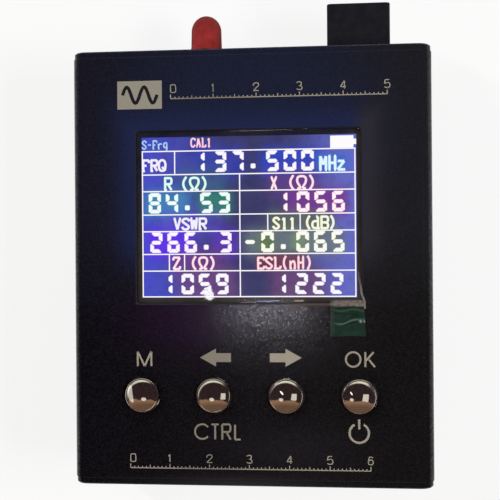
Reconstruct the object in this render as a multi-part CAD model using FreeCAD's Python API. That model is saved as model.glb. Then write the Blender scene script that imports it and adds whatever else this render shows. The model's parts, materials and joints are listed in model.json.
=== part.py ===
"""Hand-held antenna analyzer, built piece by piece as it would come apart on a bench.

Frame: +X is right across the face, +Y points to the connector end and +Z out of the face.
The origin is the centre of the back face. All sizes are in millimetres.
"""
import FreeCAD, Part
import math
import os

# ---- Case ----------------------------------------------------------------------------------------
CASE_WIDTH = 82.0
CASE_DEPTH = 28.0
BODY_LENGTH = 96.0
CASE_WALL = 1.5
CASE_CORNER = 3.4
SPLIT_HEIGHT = 14.0
TONGUE_WIDTH = 0.7
TONGUE_HEIGHT = 1.0
TONGUE_ROOT = 1.0
TONGUE_GAP = 0.05
SEAM_GROOVE = 0.3
RAIL_WIDTH = 1.5
RAIL_HEIGHT = 1.0
HOLD_DOWN_HEIGHT = 3.4
BOSS_RADIUS = 2.2
BOSS_INSET = 1.8
PLATE_THICKNESS = 1.5
PLATE_INSET = 0.2
PLATE_CHAMFER = 0.3
SMALL_CORNER = 0.4

# ---- End-plate screws (countersunk) --------------------------------------------------------------
SCREW_RADIUS = 1.2
SCREW_GAP = 0.05
SCREW_HEAD_RADIUS = 2.1
SCREW_LENGTH = 8.0
SCREW_SLOT_WIDTH = 0.6
SCREW_SLOT_DEPTH = 0.5
SCREW_SLOT_LENGTH = 2.7

# ---- Display -------------------------------------------------------------------------------------
ACTIVE_WIDTH = 48.96
ACTIVE_HEIGHT = 36.72
ACTIVE_X = -0.42
ACTIVE_Y = 11.38
MODULE_SIDE_BORDER = 5.65
MODULE_END_BORDER = 3.0
WINDOW_WIDTH = 51.0
WINDOW_HEIGHT = 39.2
WINDOW_CORNER = 0.9
WINDOW_CHAMFER = 0.25
FILM_THICKNESS = 0.12
GLASS_SHEET = 0.6
GLASS_LEDGE = 3.4
BACKLIGHT_THICKNESS = 1.2
HOLDER_THICKNESS = 1.0
HOLDER_RIM = 6.0
FLEX_WIDTH = 24.0
FLEX_THICKNESS = 0.15
FLEX_OVERLAP = 1.8
FLEX_FOOT = 4.0
FLEX_CLEARANCE = 1.0

# ---- Protective film's lifted corner and its pull tab --------------------------------------------
FILM_MARGIN = 0.6
LIFT_WIDTH = 6.6
LIFT_START = 6.2
LIFT_CLEARANCE = 0.35
LIFT_EDGE_GAP = 0.9
LIFT_LENGTH = 7.6
TAB_WIDTH = 7.0
TAB_LENGTH = 5.6
TAB_THICKNESS = 0.15

# ---- Buttons -------------------------------------------------------------------------------------
BUTTON_NAMES = ("menu", "left", "right", "ok")
BUTTON_FROM_LEFT = 16.2
BUTTON_FROM_RIGHT = 16.6
BUTTON_FROM_END = 19.0
CAP_RADIUS = 3.9
CAP_GAP = 0.25
CAP_RISE = 0.8
CAP_RIM = 0.35
DOME_RADIUS = 3.5
DOME_CROWN = 1.2
FLANGE_RADIUS = 4.8
FLANGE_THICKNESS = 0.7
BUTTON_TRAVEL = 0.4
TRAVEL_SPARE = 0.2
SWITCH_SIZE = 6.0
SWITCH_HEIGHT = 1.9
SWITCH_FLOOR = 0.4
SWITCH_COVER = 0.2
SWITCH_COVER_LENGTH = 3.6
PLUNGER_RADIUS = 1.5
PLUNGER_GAP = 0.1
PLUNGER_SOCKET = 0.5

# ---- Boards --------------------------------------------------------------------------------------
BOARD_THICKNESS = 1.6
BOARD_SIDE_GAP = 0.3
DISPLAY_BOARD_SIDE_GAP = 5.5
DISPLAY_BOARD_END_GAP = 3.0
MAIN_BOARD_END_GAP = 2.5
SPACER_SIDE_MARGIN = 2.5
SPACER_END_MARGIN = 5.0
SPACER_ACROSS = 4.0
SPACER_HOLE = 0.8
BOARD_HOLE = 1.1
PAN_RADIUS = 1.9
PAN_HEIGHT = 1.3
PAN_SHANK = 0.75
PAN_LENGTH = 3.5
HEADER_COLUMNS = 10
HEADER_ROWS = 2
HEADER_PITCH = 2.54
HEADER_MARGIN = 5.0
PIN_SIZE = 0.64
PIN_HOLE = 0.5
PIN_TAIL = 0.9

# ---- Coaxial jack (SMA, 1/4-36 thread) -----------------------------------------------------------
JACK_FROM_LEFT = 29.55
JACK_HEIGHT = 14.0
THREAD_RADIUS = 3.175
THREAD_PITCH = 25.4 / 36
THREAD_DEPTH = 0.38
THREAD_FLAT = THREAD_PITCH / 5
THREAD_LENGTH = 8.9
THREAD_GAP = 0.075
JACK_FLANGE = 6.35
JACK_FLANGE_THICKNESS = 2.0
JACK_BORE = 2.3
JACK_RECESS = 1.9
INSULATOR_RADIUS = 2.05
CONTACT_RADIUS = 0.635
CONTACT_BORE = 0.47
CONTACT_BORE_DEPTH = 2.5
CONTACT_TAIL_RADIUS = 0.4
CONTACT_TAIL = 3.0
LEG_SIZE = 1.0
LEG_LENGTH = 4.0
WASHER_RADIUS = 4.3
WASHER_THICKNESS = 0.4
NUT_ACROSS = 7.94
NUT_THICKNESS = 1.6
DUST_CAP_RADIUS = 3.75
DUST_CAP_TOP_RADIUS = 3.6
DUST_CAP_END = 3.05
DUST_CAP_ROUND = 3.35
COVER_SEAT_GAP = 0.1

# ---- Charging socket (mini-B) and its cover ------------------------------------------------------
USB_FROM_RIGHT = 16.2
USB_WIDTH = 7.7
USB_HEIGHT = 3.9
USB_LENGTH = 9.1
USB_WALL = 0.35
USB_RECESS = 0.2
USB_PLATE_GAP = 0.3
TONGUE_BAR_WIDTH = 4.0
TONGUE_BAR_HEIGHT = 0.7
TONGUE_BAR_LENGTH = 5.4
TONGUE_BAR_BASE = 1.6
COVER_WIDTH = 14.5
COVER_HEIGHT = 9.0
COVER_LENGTH = 11.2
COVER_ROUND = 0.9
STUB_GAP = 0.3
STUB_LENGTH = 5.0
LIGHT_FROM_RIGHT = 5.8
LIGHT_HOLE = 0.8
LIGHT_BODY = 1.6
LIGHT_LENGTH = 3.4

# ---- Parts on the main board ---------------------------------------------------------------------
CAN_WIDTH = 28.0
CAN_LENGTH = 24.0
CAN_HEIGHT = 3.4
CAN_WALL = 0.3
CAN_FROM_LEFT = 25.0
CAN_FROM_FRONT = 8.5
CHIP_SIZE = 10.0
CHIP_HEIGHT = 1.4
CHIP_X = 10.0
CHIP_Y = 2.0
CHIP_LEADS = 16
LEAD_PITCH = 0.5
LEAD_WIDTH = 0.22
LEAD_LENGTH = 1.0
LEAD_THICKNESS = 0.2
CRYSTAL_LENGTH = 11.3
CRYSTAL_WIDTH = 4.6
CRYSTAL_HEIGHT = 3.5
CRYSTAL_X = 10.0
CRYSTAL_Y = 16.0
INDUCTOR_RADIUS = 3.0
INDUCTOR_WAIST = 2.55
INDUCTOR_HEIGHT = 3.0
INDUCTOR_X = 27.0
INDUCTOR_Y = 22.0
CAPACITOR_COUNT = 8
CAPACITOR_PITCH = 4.0
CAPACITOR_LENGTH = 2.0
CAPACITOR_WIDTH = 1.25
CAPACITOR_HEIGHT = 0.9
CAPACITOR_X = -14.0
CAPACITOR_Y = -8.0

# ---- Battery -------------------------------------------------------------------------------------
CELL_WIDTH = 50.0
CELL_LENGTH = 56.0
CELL_THICKNESS = 7.5
CELL_ROUND = 2.5
CELL_Y = -14.0
PAD_THICKNESS = 0.7
PAD_MARGIN = 4.0
GUARD_WIDTH = 30.0
GUARD_LENGTH = 4.0
GUARD_THICKNESS = 2.0
SOCKET_WIDTH = 7.0
SOCKET_LENGTH = 6.0
SOCKET_DEPTH = 3.6
SOCKET_WALL = 0.8
SOCKET_X = 8.0
SOCKET_Y = 36.0
PLUG_LENGTH = 5.0
PLUG_PROUD = 2.0
LEAD_CABLE_RADIUS = 0.5
LEAD_CABLE_PITCH = 2.0
LEAD_END_RUN = 4.5
LEAD_ARC_SHARE = 0.45

# ---- Levels and edges worked out from the sizes above --------------------------------------------
HALF_WIDTH = CASE_WIDTH / 2
HALF_BODY = BODY_LENGTH / 2
INNER_X = HALF_WIDTH - CASE_WALL
INNER_FRONT = CASE_DEPTH - CASE_WALL
FILM_BOTTOM = INNER_FRONT - FILM_THICKNESS
GLASS_BOTTOM = FILM_BOTTOM - 2 * GLASS_SHEET
BACKLIGHT_BOTTOM = GLASS_BOTTOM - BACKLIGHT_THICKNESS
DISPLAY_BOARD_TOP = BACKLIGHT_BOTTOM - HOLDER_THICKNESS
DISPLAY_BOARD_BOTTOM = DISPLAY_BOARD_TOP - BOARD_THICKNESS
MAIN_BOARD_TOP = JACK_HEIGHT - CONTACT_TAIL_RADIUS
MAIN_BOARD_BOTTOM = MAIN_BOARD_TOP - BOARD_THICKNESS
MAIN_BOARD_HALF = INNER_X - BOARD_SIDE_GAP
DISPLAY_BOARD_HALF = INNER_X - DISPLAY_BOARD_SIDE_GAP
DISPLAY_BOARD_EDGE = HALF_BODY - DISPLAY_BOARD_END_GAP
SPACER_X = DISPLAY_BOARD_HALF - SPACER_SIDE_MARGIN
SPACER_Y = DISPLAY_BOARD_EDGE - SPACER_END_MARGIN
HEADER_Y = -DISPLAY_BOARD_EDGE + HEADER_MARGIN
JACK_X = -HALF_WIDTH + JACK_FROM_LEFT
USB_X = HALF_WIDTH - USB_FROM_RIGHT
LIGHT_X = HALF_WIDTH - LIGHT_FROM_RIGHT
MAIN_BOARD_FRONT_EDGE = HALF_BODY - JACK_FLANGE_THICKNESS
MAIN_BOARD_BACK_EDGE = -HALF_BODY + MAIN_BOARD_END_GAP
TOP_FACE = HALF_BODY + PLATE_THICKNESS
MODULE_LEFT = ACTIVE_X - ACTIVE_WIDTH / 2 - MODULE_SIDE_BORDER
MODULE_RIGHT = ACTIVE_X + ACTIVE_WIDTH / 2 + MODULE_SIDE_BORDER
MODULE_LOW = ACTIVE_Y - ACTIVE_HEIGHT / 2 - MODULE_END_BORDER
MODULE_HIGH = ACTIVE_Y + ACTIVE_HEIGHT / 2 + MODULE_END_BORDER
WINDOW_LOW = (ACTIVE_X - WINDOW_WIDTH / 2, ACTIVE_Y - WINDOW_HEIGHT / 2)
WINDOW_HIGH = (ACTIVE_X + WINDOW_WIDTH / 2, ACTIVE_Y + WINDOW_HEIGHT / 2)
BUTTON_ROW_Y = -HALF_BODY + BUTTON_FROM_END
BUTTON_FIRST_X = -HALF_WIDTH + BUTTON_FROM_LEFT
BUTTON_PITCH = (CASE_WIDTH - BUTTON_FROM_LEFT - BUTTON_FROM_RIGHT) / (len(BUTTON_NAMES) - 1)
CAN_X = -HALF_WIDTH + CAN_FROM_LEFT
CAN_Y = MAIN_BOARD_FRONT_EDGE - CAN_FROM_FRONT - CAN_LENGTH / 2
SWITCH_TOP = DISPLAY_BOARD_TOP + SWITCH_HEIGHT
FLANGE_BOTTOM = SWITCH_TOP + SWITCH_COVER + BUTTON_TRAVEL + TRAVEL_SPARE
PLUNGER_BOTTOM = DISPLAY_BOARD_TOP + SWITCH_FLOOR + BUTTON_TRAVEL + PLUNGER_GAP
PLUNGER_TOP = FLANGE_BOTTOM + PLUNGER_SOCKET
CELL_BOTTOM = CASE_WALL + PAD_THICKNESS
CELL_END = CELL_Y + CELL_LENGTH / 2
NUT_FACE = TOP_FACE + WASHER_THICKNESS + NUT_THICKNESS
THREAD_END = HALF_BODY + THREAD_LENGTH
USB_HEIGHT_MID = MAIN_BOARD_TOP + USB_HEIGHT / 2
USB_MOUTH = TOP_FACE - USB_RECESS
HALF_SQUARE = math.sqrt(0.5)


# ---- Shapes that several pieces share ------------------------------------------------------------
def placed(u, v, level, plane):
    """A point from its two numbers in a plane, XY or XZ, and its level on the third axis."""
    if plane == "XZ":
        return FreeCAD.Vector(u, level, v)
    return FreeCAD.Vector(u, v, level)


def outline(low, high, radius, level, plane):
    """Closed wire of a rectangle, with round corners where the radius is over 0."""
    u0, v0 = low
    u1, v1 = high
    if radius <= 0:
        corners = [placed(u, v, level, plane) for u, v in ((u0, v0), (u1, v0), (u1, v1), (u0, v1))]
        return Part.makePolygon(corners + corners[:1])
    corners = (
        (u1 - radius, v0 + radius, 1, -1),
        (u1 - radius, v1 - radius, 1, 1),
        (u0 + radius, v1 - radius, -1, 1),
        (u0 + radius, v0 + radius, -1, -1),
    )
    edges = []
    last = placed(u0 + radius, v0, level, plane)
    for index, (u, v, across, up) in enumerate(corners):
        beside = placed(u + across * radius, v, level, plane)
        above = placed(u, v + up * radius, level, plane)
        middle = placed(u + across * radius * HALF_SQUARE, v + up * radius * HALF_SQUARE, level, plane)
        start, end = (above, beside) if index % 2 == 0 else (beside, above)
        if start.distanceToPoint(last) > 1e-6:
            edges.append(Part.makeLine(last, start))
        edges.append(Part.Arc(start, middle, end).toShape())
        last = end
    first = edges[0].Vertexes[0].Point
    if last.distanceToPoint(first) > 1e-6:
        edges.append(Part.makeLine(last, first))
    return Part.Wire(edges)


def slab(low, high, start, end, radius=0.0, plane="XY", inset=0.0):
    """Solid between two levels. inset shrinks the far outline on all sides, as a chamfer does."""
    near = outline(low, high, radius, start, plane)
    if inset == 0:
        return Part.Face(near).extrude(placed(0, 0, end - start, plane))
    far_low = (low[0] + inset, low[1] + inset)
    far_high = (high[0] - inset, high[1] - inset)
    far = outline(far_low, far_high, radius - inset, end, plane)
    return Part.makeLoft([near, far], True, True)


def block(centre_x, centre_y, bottom, width, length, height):
    """Plain block given by the centre of its underside."""
    low = (centre_x - width / 2, centre_y - length / 2)
    high = (centre_x + width / 2, centre_y + length / 2)
    return slab(low, high, bottom, bottom + height)


def rod(x, y, z, radius, length, along="Z"):
    """Cylinder from a point along +Z or +Y."""
    direction = FreeCAD.Vector(0, 0, 1) if along == "Z" else FreeCAD.Vector(0, 1, 0)
    return Part.makeCylinder(radius, length, FreeCAD.Vector(x, y, z), direction)


def cone(x, y, z, radius, end_radius, length):
    """Cone from a point along +Y."""
    return Part.makeCone(radius, end_radius, length, FreeCAD.Vector(x, y, z), FreeCAD.Vector(0, 1, 0))


def turned(profile, x, height):
    """Solid turned about an axis along Y. The profile is a closed list of (radius, y)."""
    points = [FreeCAD.Vector(x + radius, y, height) for radius, y in profile]
    face = Part.Face(Part.makePolygon(points + points[:1]))
    return face.revolve(FreeCAD.Vector(x, 0, height), FreeCAD.Vector(0, 1, 0), 360)


def hexagon(x, height, across, start, end):
    """Hexagonal prism along Y, flats facing up and down."""
    reach = across / math.sqrt(3)
    angles = [math.radians(60 * side) for side in range(7)]
    points = [FreeCAD.Vector(x + reach * math.cos(a), start, height + reach * math.sin(a)) for a in angles]
    return Part.Face(Part.makePolygon(points)).extrude(FreeCAD.Vector(0, end - start, 0))


def standing_hexagon(x, y, across, bottom, top):
    """Hexagonal prism along Z."""
    reach = across / math.sqrt(3)
    angles = [math.radians(60 * side) for side in range(7)]
    points = [FreeCAD.Vector(x + reach * math.cos(a), y + reach * math.sin(a), bottom) for a in angles]
    return Part.Face(Part.makePolygon(points)).extrude(FreeCAD.Vector(0, 0, top - bottom))


def joined(shapes):
    """One solid from overlapping or touching ones."""
    return shapes[0].multiFuse(shapes[1:]).removeSplitter()


def without(shape, tools):
    """A solid with others cut away."""
    return shape.cut(Part.makeCompound(tools))


def button_x(index):
    """Centre of a button, counted from the left."""
    return BUTTON_FIRST_X + BUTTON_PITCH * index


def boss_places():
    """The four screw bosses, as (x, z)."""
    across = HALF_WIDTH - CASE_WALL - BOSS_INSET
    low = CASE_WALL + BOSS_INSET
    return [(side * across, height) for side in (-1, 1) for height in (low, CASE_DEPTH - low)]


def spacer_places():
    """The four board spacers, as (x, y)."""
    return [(x, y) for x in (-SPACER_X, SPACER_X) for y in (-SPACER_Y, SPACER_Y)]


def pin_places():
    """The header's pins, as (x, y)."""
    columns = [HEADER_PITCH * (i - (HEADER_COLUMNS - 1) / 2) for i in range(HEADER_COLUMNS)]
    rows = [HEADER_Y + HEADER_PITCH * (i - (HEADER_ROWS - 1) / 2) for i in range(HEADER_ROWS)]
    return [(x, y) for x in columns for y in rows]


# ---- Case ----------------------------------------------------------------------------------------
def tube():
    """The whole extruded section with its four screw bosses, before it is split."""
    outer = slab((-HALF_WIDTH, 0), (HALF_WIDTH, CASE_DEPTH), -HALF_BODY, HALF_BODY, CASE_CORNER, "XZ")
    inner_radius = CASE_CORNER - CASE_WALL
    inner = slab((-INNER_X, CASE_WALL), (INNER_X, INNER_FRONT), -HALF_BODY, HALF_BODY, inner_radius, "XZ")
    bosses = [rod(x, -HALF_BODY, z, BOSS_RADIUS, BODY_LENGTH, "Y") for x, z in boss_places()]
    shell = joined([outer.cut(inner)] + [boss.common(outer) for boss in bosses])
    bores = [rod(x, -HALF_BODY, z, SCREW_RADIUS + SCREW_GAP, BODY_LENGTH, "Y") for x, z in boss_places()]
    grooves = []
    for side in (-1, 1):
        groove = Part.makeBox(SEAM_GROOVE, BODY_LENGTH, SEAM_GROOVE)
        groove.translate(FreeCAD.Vector(-SEAM_GROOVE / 2, -HALF_BODY, -SEAM_GROOVE / 2))
        groove.rotate(FreeCAD.Vector(0, 0, 0), FreeCAD.Vector(0, 1, 0), 45)
        groove.translate(FreeCAD.Vector(side * HALF_WIDTH, 0, SPLIT_HEIGHT))
        grooves.append(groove)
    return without(shell, bores + grooves)


def side_strips(depth, bottom, top):
    """Strips along both side walls' inner faces, from the wall inwards or, below 0, into the wall."""
    edges = sorted((INNER_X, INNER_X - depth))
    right = slab((edges[0], -HALF_BODY), (edges[1], HALF_BODY), bottom, top)
    left = slab((-edges[1], -HALF_BODY), (-edges[0], HALF_BODY), bottom, top)
    return [left, right]


def front_shell():
    """Front half: window, button holes, and rails that hold the main board down."""
    upper = slab((-HALF_WIDTH, -HALF_BODY), (HALF_WIDTH, HALF_BODY), SPLIT_HEIGHT, CASE_DEPTH)
    shell = tube().common(upper)
    lap = side_strips(-(TONGUE_WIDTH + TONGUE_GAP), SPLIT_HEIGHT, SPLIT_HEIGHT + TONGUE_HEIGHT + TONGUE_GAP)
    shell = without(shell, lap)
    rails = side_strips(RAIL_WIDTH, MAIN_BOARD_TOP, MAIN_BOARD_TOP + HOLD_DOWN_HEIGHT)
    shell = joined([shell] + rails)
    window = slab(WINDOW_LOW, WINDOW_HIGH, INNER_FRONT, CASE_DEPTH, WINDOW_CORNER)
    chamfer_low = [edge - WINDOW_CHAMFER for edge in WINDOW_LOW]
    chamfer_high = [edge + WINDOW_CHAMFER for edge in WINDOW_HIGH]
    top_radius = WINDOW_CORNER + WINDOW_CHAMFER
    near = outline(WINDOW_LOW, WINDOW_HIGH, WINDOW_CORNER, CASE_DEPTH - WINDOW_CHAMFER, "XY")
    far = outline(chamfer_low, chamfer_high, top_radius, CASE_DEPTH, "XY")
    chamfer = Part.makeLoft([near, far], True, True)
    hole = CAP_RADIUS + CAP_GAP
    holes = [rod(button_x(i), BUTTON_ROW_Y, INNER_FRONT, hole, CASE_WALL) for i in range(len(BUTTON_NAMES))]
    return without(shell, [window, chamfer] + holes)


def rear_shell():
    """Back half: rails that carry the main board, and the tongue of the lap joint."""
    lower = slab((-HALF_WIDTH, -HALF_BODY), (HALF_WIDTH, HALF_BODY), 0, SPLIT_HEIGHT)
    tongue = side_strips(-TONGUE_WIDTH, SPLIT_HEIGHT - TONGUE_ROOT, SPLIT_HEIGHT + TONGUE_HEIGHT)
    rails = side_strips(RAIL_WIDTH, MAIN_BOARD_BOTTOM - RAIL_HEIGHT, MAIN_BOARD_BOTTOM)
    return joined([tube().common(lower)] + tongue + rails)


def end_plate(side, cutters):
    """Flat plate over one end of the tube, with chamfered rim and countersunk screw holes."""
    inner = side * HALF_BODY
    step = side * (HALF_BODY + PLATE_THICKNESS - PLATE_CHAMFER)
    outer = side * (HALF_BODY + PLATE_THICKNESS)
    low = (-HALF_WIDTH + PLATE_INSET, PLATE_INSET)
    high = (HALF_WIDTH - PLATE_INSET, CASE_DEPTH - PLATE_INSET)
    corner = CASE_CORNER - PLATE_INSET
    body = slab(low, high, inner, step, corner, "XZ")
    rim = slab(low, high, step, outer, corner, "XZ", PLATE_CHAMFER)
    return without(joined([body, rim]), cutters + [screw_hole(x, z, side) for x, z in boss_places()])


def screw_hole(x, z, side):
    """Clearance hole with a countersink that opens outwards."""
    return end_screw_form(x, z, side, SCREW_GAP, PLATE_THICKNESS)


def end_screw_form(x, z, side, gap, length):
    """Countersunk screw's outer form, grown by a gap, pointing into the case."""
    taper = SCREW_HEAD_RADIUS - SCREW_RADIUS
    shank = rod(x, TOP_FACE - length, z, SCREW_RADIUS + gap, length, "Y")
    head = cone(x, TOP_FACE - taper, z, SCREW_RADIUS + gap, SCREW_HEAD_RADIUS + gap, taper)
    form = joined([shank, head])
    if side < 0:
        form = form.mirror(FreeCAD.Vector(0, 0, 0), FreeCAD.Vector(0, 1, 0))
    return form


def end_screws(side):
    """Four countersunk screws of one end plate, each with a cross recess."""
    screws = []
    for x, z in boss_places():
        screw = end_screw_form(x, z, side, 0, SCREW_LENGTH)
        near = TOP_FACE - SCREW_SLOT_DEPTH
        bars = []
        for wide, tall in ((SCREW_SLOT_LENGTH, SCREW_SLOT_WIDTH), (SCREW_SLOT_WIDTH, SCREW_SLOT_LENGTH)):
            low = (x - wide / 2, z - tall / 2)
            high = (x + wide / 2, z + tall / 2)
            bars.append(slab(low, high, near, TOP_FACE, plane="XZ"))
        if side < 0:
            bars = [bar.mirror(FreeCAD.Vector(0, 0, 0), FreeCAD.Vector(0, 1, 0)) for bar in bars]
        screws.append(without(screw, bars))
    return Part.makeCompound(screws)


def top_end_plate():
    """End plate with the openings for the jack, the charging socket and the charge light."""
    jack = rod(JACK_X, HALF_BODY, JACK_HEIGHT, THREAD_RADIUS + THREAD_GAP, PLATE_THICKNESS, "Y")
    half = USB_WIDTH / 2 + USB_PLATE_GAP
    rise = USB_HEIGHT / 2 + USB_PLATE_GAP
    socket = slab((USB_X - half, USB_HEIGHT_MID - rise), (USB_X + half, USB_HEIGHT_MID + rise),
                  HALF_BODY, TOP_FACE, SMALL_CORNER, "XZ")
    light = rod(LIGHT_X, HALF_BODY, MAIN_BOARD_TOP + LIGHT_BODY / 2, LIGHT_HOLE, PLATE_THICKNESS, "Y")
    return end_plate(1, [jack, socket, light])


def bottom_end_plate():
    """Plain end plate."""
    return end_plate(-1, [])


# ---- Display -------------------------------------------------------------------------------------
def lcd_glass():
    """Two bonded sheets. The back sheet is longer, and its ledge takes the flex cable."""
    low = (MODULE_LEFT, MODULE_LOW)
    bond = GLASS_BOTTOM + GLASS_SHEET
    back = slab(low, (MODULE_RIGHT, MODULE_HIGH), GLASS_BOTTOM, bond)
    front = slab(low, (MODULE_RIGHT - GLASS_LEDGE, MODULE_HIGH), bond, FILM_BOTTOM)
    return joined([back, front])


def lcd_backlight():
    """Light guide and diffuser in one frame."""
    return slab((MODULE_LEFT, MODULE_LOW), (MODULE_RIGHT, MODULE_HIGH),
                BACKLIGHT_BOTTOM, GLASS_BOTTOM, SMALL_CORNER)


def lcd_holder():
    """Plastic frame that the display module is stuck to, open in the middle and short of the flex cable."""
    low = (MODULE_LEFT, MODULE_LOW)
    high = (MODULE_RIGHT - FLEX_FOOT - FLEX_CLEARANCE, MODULE_HIGH)
    frame = slab(low, high, DISPLAY_BOARD_TOP, BACKLIGHT_BOTTOM, SMALL_CORNER)
    inner_low = [edge + HOLDER_RIM for edge in low]
    inner_high = [edge - HOLDER_RIM for edge in high]
    return frame.cut(slab(inner_low, inner_high, DISPLAY_BOARD_TOP, BACKLIGHT_BOTTOM, SMALL_CORNER))


def lcd_flex_cable():
    """Flat cable from the glass ledge, round the module's edge and back along the display board."""
    base = DISPLAY_BOARD_TOP
    top = GLASS_BOTTOM + GLASS_SHEET
    outer = (top + FLEX_THICKNESS - base) / 2
    bend_x = MODULE_RIGHT + FLEX_THICKNESS
    low = ACTIVE_Y - FLEX_WIDTH / 2
    high = ACTIVE_Y + FLEX_WIDTH / 2
    ring = rod(bend_x, low, base + outer, outer, FLEX_WIDTH, "Y")
    ring = ring.cut(rod(bend_x, low, base + outer, outer - FLEX_THICKNESS, FLEX_WIDTH, "Y"))
    half = ring.common(slab((bend_x, low), (bend_x + outer, high), base, base + 2 * outer))
    upper = slab((MODULE_RIGHT - FLEX_OVERLAP, low), (bend_x, high), top, top + FLEX_THICKNESS)
    lower = slab((MODULE_RIGHT - FLEX_FOOT, low), (bend_x, high), base, base + FLEX_THICKNESS)
    return joined([upper, half, lower])


def lifted_profile():
    """Underside of the film's lifted corner, as (y, z), from the glass out to the case's face."""
    edge = WINDOW_LOW[1]
    return [
        (edge + LIFT_START, FILM_BOTTOM),
        (edge + LIFT_EDGE_GAP, CASE_DEPTH + LIFT_CLEARANCE),
        (edge - LIFT_EDGE_GAP, CASE_DEPTH + LIFT_CLEARANCE),
        (edge - 2 * LIFT_EDGE_GAP, CASE_DEPTH),
        (edge - LIFT_LENGTH, CASE_DEPTH),
    ]


def screen_film():
    """Clear film on the glass, with one corner lifted out over the case's face."""
    right = WINDOW_HIGH[0] - LIFT_CLEARANCE
    left = right - LIFT_WIDTH
    sheet = slab((WINDOW_LOW[0] - FILM_MARGIN, WINDOW_LOW[1] - FILM_MARGIN),
                 (WINDOW_HIGH[0] + FILM_MARGIN, WINDOW_HIGH[1] + FILM_MARGIN), FILM_BOTTOM, INNER_FRONT)
    corner = slab((left - LIFT_CLEARANCE, WINDOW_LOW[1] - FILM_MARGIN),
                  (WINDOW_HIGH[0] + FILM_MARGIN, WINDOW_LOW[1] + LIFT_START), FILM_BOTTOM, INNER_FRONT)
    under = lifted_profile()
    over = [(y, z + FILM_THICKNESS) for y, z in reversed(under)]
    points = [FreeCAD.Vector(left, y, z) for y, z in under + over + under[:1]]
    lifted = Part.Face(Part.makePolygon(points)).extrude(FreeCAD.Vector(right - left, 0, 0))
    return joined([sheet.cut(corner), lifted])


def pull_tab():
    """Coloured tab stuck on the film's lifted corner."""
    low_y = WINDOW_LOW[1] - LIFT_LENGTH
    right = WINDOW_HIGH[0] + LIFT_CLEARANCE
    bottom = CASE_DEPTH + FILM_THICKNESS
    return slab((right - TAB_WIDTH, low_y), (right, low_y + TAB_LENGTH), bottom, bottom + TAB_THICKNESS)


# ---- Buttons -------------------------------------------------------------------------------------
def button_cap(index):
    """Metal cap: hidden flange, rounded rim, domed middle, and a socket for the switch's plunger."""
    x = button_x(index)
    rim_top = CASE_DEPTH + CAP_RISE
    flange = rod(x, BUTTON_ROW_Y, FLANGE_BOTTOM, FLANGE_RADIUS, FLANGE_THICKNESS)
    stem = rod(x, BUTTON_ROW_Y, FLANGE_BOTTOM, CAP_RADIUS, rim_top - FLANGE_BOTTOM)
    rim = [e for e in stem.Edges if len(e.Vertexes) == 1 and e.CenterOfMass.z > CASE_DEPTH]
    stem = stem.makeFillet(CAP_RIM, rim)
    ball_radius = (DOME_RADIUS ** 2 + DOME_CROWN ** 2) / (2 * DOME_CROWN)
    ball = Part.makeSphere(ball_radius, FreeCAD.Vector(x, BUTTON_ROW_Y, rim_top + DOME_CROWN - ball_radius))
    dome = ball.common(rod(x, BUTTON_ROW_Y, FLANGE_BOTTOM + FLANGE_THICKNESS, CAP_RADIUS, 2 * DOME_RADIUS))
    socket = rod(x, BUTTON_ROW_Y, FLANGE_BOTTOM, PLUNGER_RADIUS + PLUNGER_GAP, PLUNGER_SOCKET)
    return joined([flange, stem, dome]).cut(socket)


def switch_plunger(index):
    """The moving post of one switch."""
    return rod(button_x(index), BUTTON_ROW_Y, PLUNGER_BOTTOM, PLUNGER_RADIUS, PLUNGER_TOP - PLUNGER_BOTTOM)


def switch_bodies():
    """Four plastic switch housings on the display board."""
    bodies = []
    for index in range(len(BUTTON_NAMES)):
        x = button_x(index)
        floor = DISPLAY_BOARD_TOP + SWITCH_FLOOR
        body = block(x, BUTTON_ROW_Y, DISPLAY_BOARD_TOP, SWITCH_SIZE, SWITCH_SIZE, SWITCH_HEIGHT)
        bore = rod(x, BUTTON_ROW_Y, floor, PLUNGER_RADIUS + PLUNGER_GAP, SWITCH_HEIGHT)
        bodies.append(body.cut(bore))
    return Part.makeCompound(bodies)


def switch_covers():
    """Four bent metal covers, each over a switch housing and down its two sides."""
    covers = []
    for index in range(len(BUTTON_NAMES)):
        x = button_x(index)
        width = SWITCH_SIZE + 2 * SWITCH_COVER
        height = SWITCH_HEIGHT + SWITCH_COVER
        cover = block(x, BUTTON_ROW_Y, DISPLAY_BOARD_TOP, width, SWITCH_COVER_LENGTH, height)
        housing = block(x, BUTTON_ROW_Y, DISPLAY_BOARD_TOP, SWITCH_SIZE, SWITCH_SIZE, SWITCH_HEIGHT)
        bore = rod(x, BUTTON_ROW_Y, DISPLAY_BOARD_TOP, PLUNGER_RADIUS + PLUNGER_GAP, height)
        covers.append(without(cover, [housing, bore]))
    return Part.makeCompound(covers)


# ---- Boards --------------------------------------------------------------------------------------
def board_holes(bottom):
    """Screw and header holes through one board."""
    screws = [rod(x, y, bottom, BOARD_HOLE, BOARD_THICKNESS) for x, y in spacer_places()]
    pins = [rod(x, y, bottom, PIN_HOLE, BOARD_THICKNESS) for x, y in pin_places()]
    return screws + pins


def display_board():
    """Board behind the display. It carries the display module and the switches."""
    plate = slab((-DISPLAY_BOARD_HALF, -DISPLAY_BOARD_EDGE), (DISPLAY_BOARD_HALF, DISPLAY_BOARD_EDGE),
                 DISPLAY_BOARD_BOTTOM, DISPLAY_BOARD_TOP)
    return without(plate, board_holes(DISPLAY_BOARD_BOTTOM))


def main_board():
    """Board between the case halves. It carries both connectors and the radio parts."""
    plate = slab((-MAIN_BOARD_HALF, MAIN_BOARD_BACK_EDGE), (MAIN_BOARD_HALF, MAIN_BOARD_FRONT_EDGE),
                 MAIN_BOARD_BOTTOM, MAIN_BOARD_TOP)
    return without(plate, board_holes(MAIN_BOARD_BOTTOM))


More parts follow.
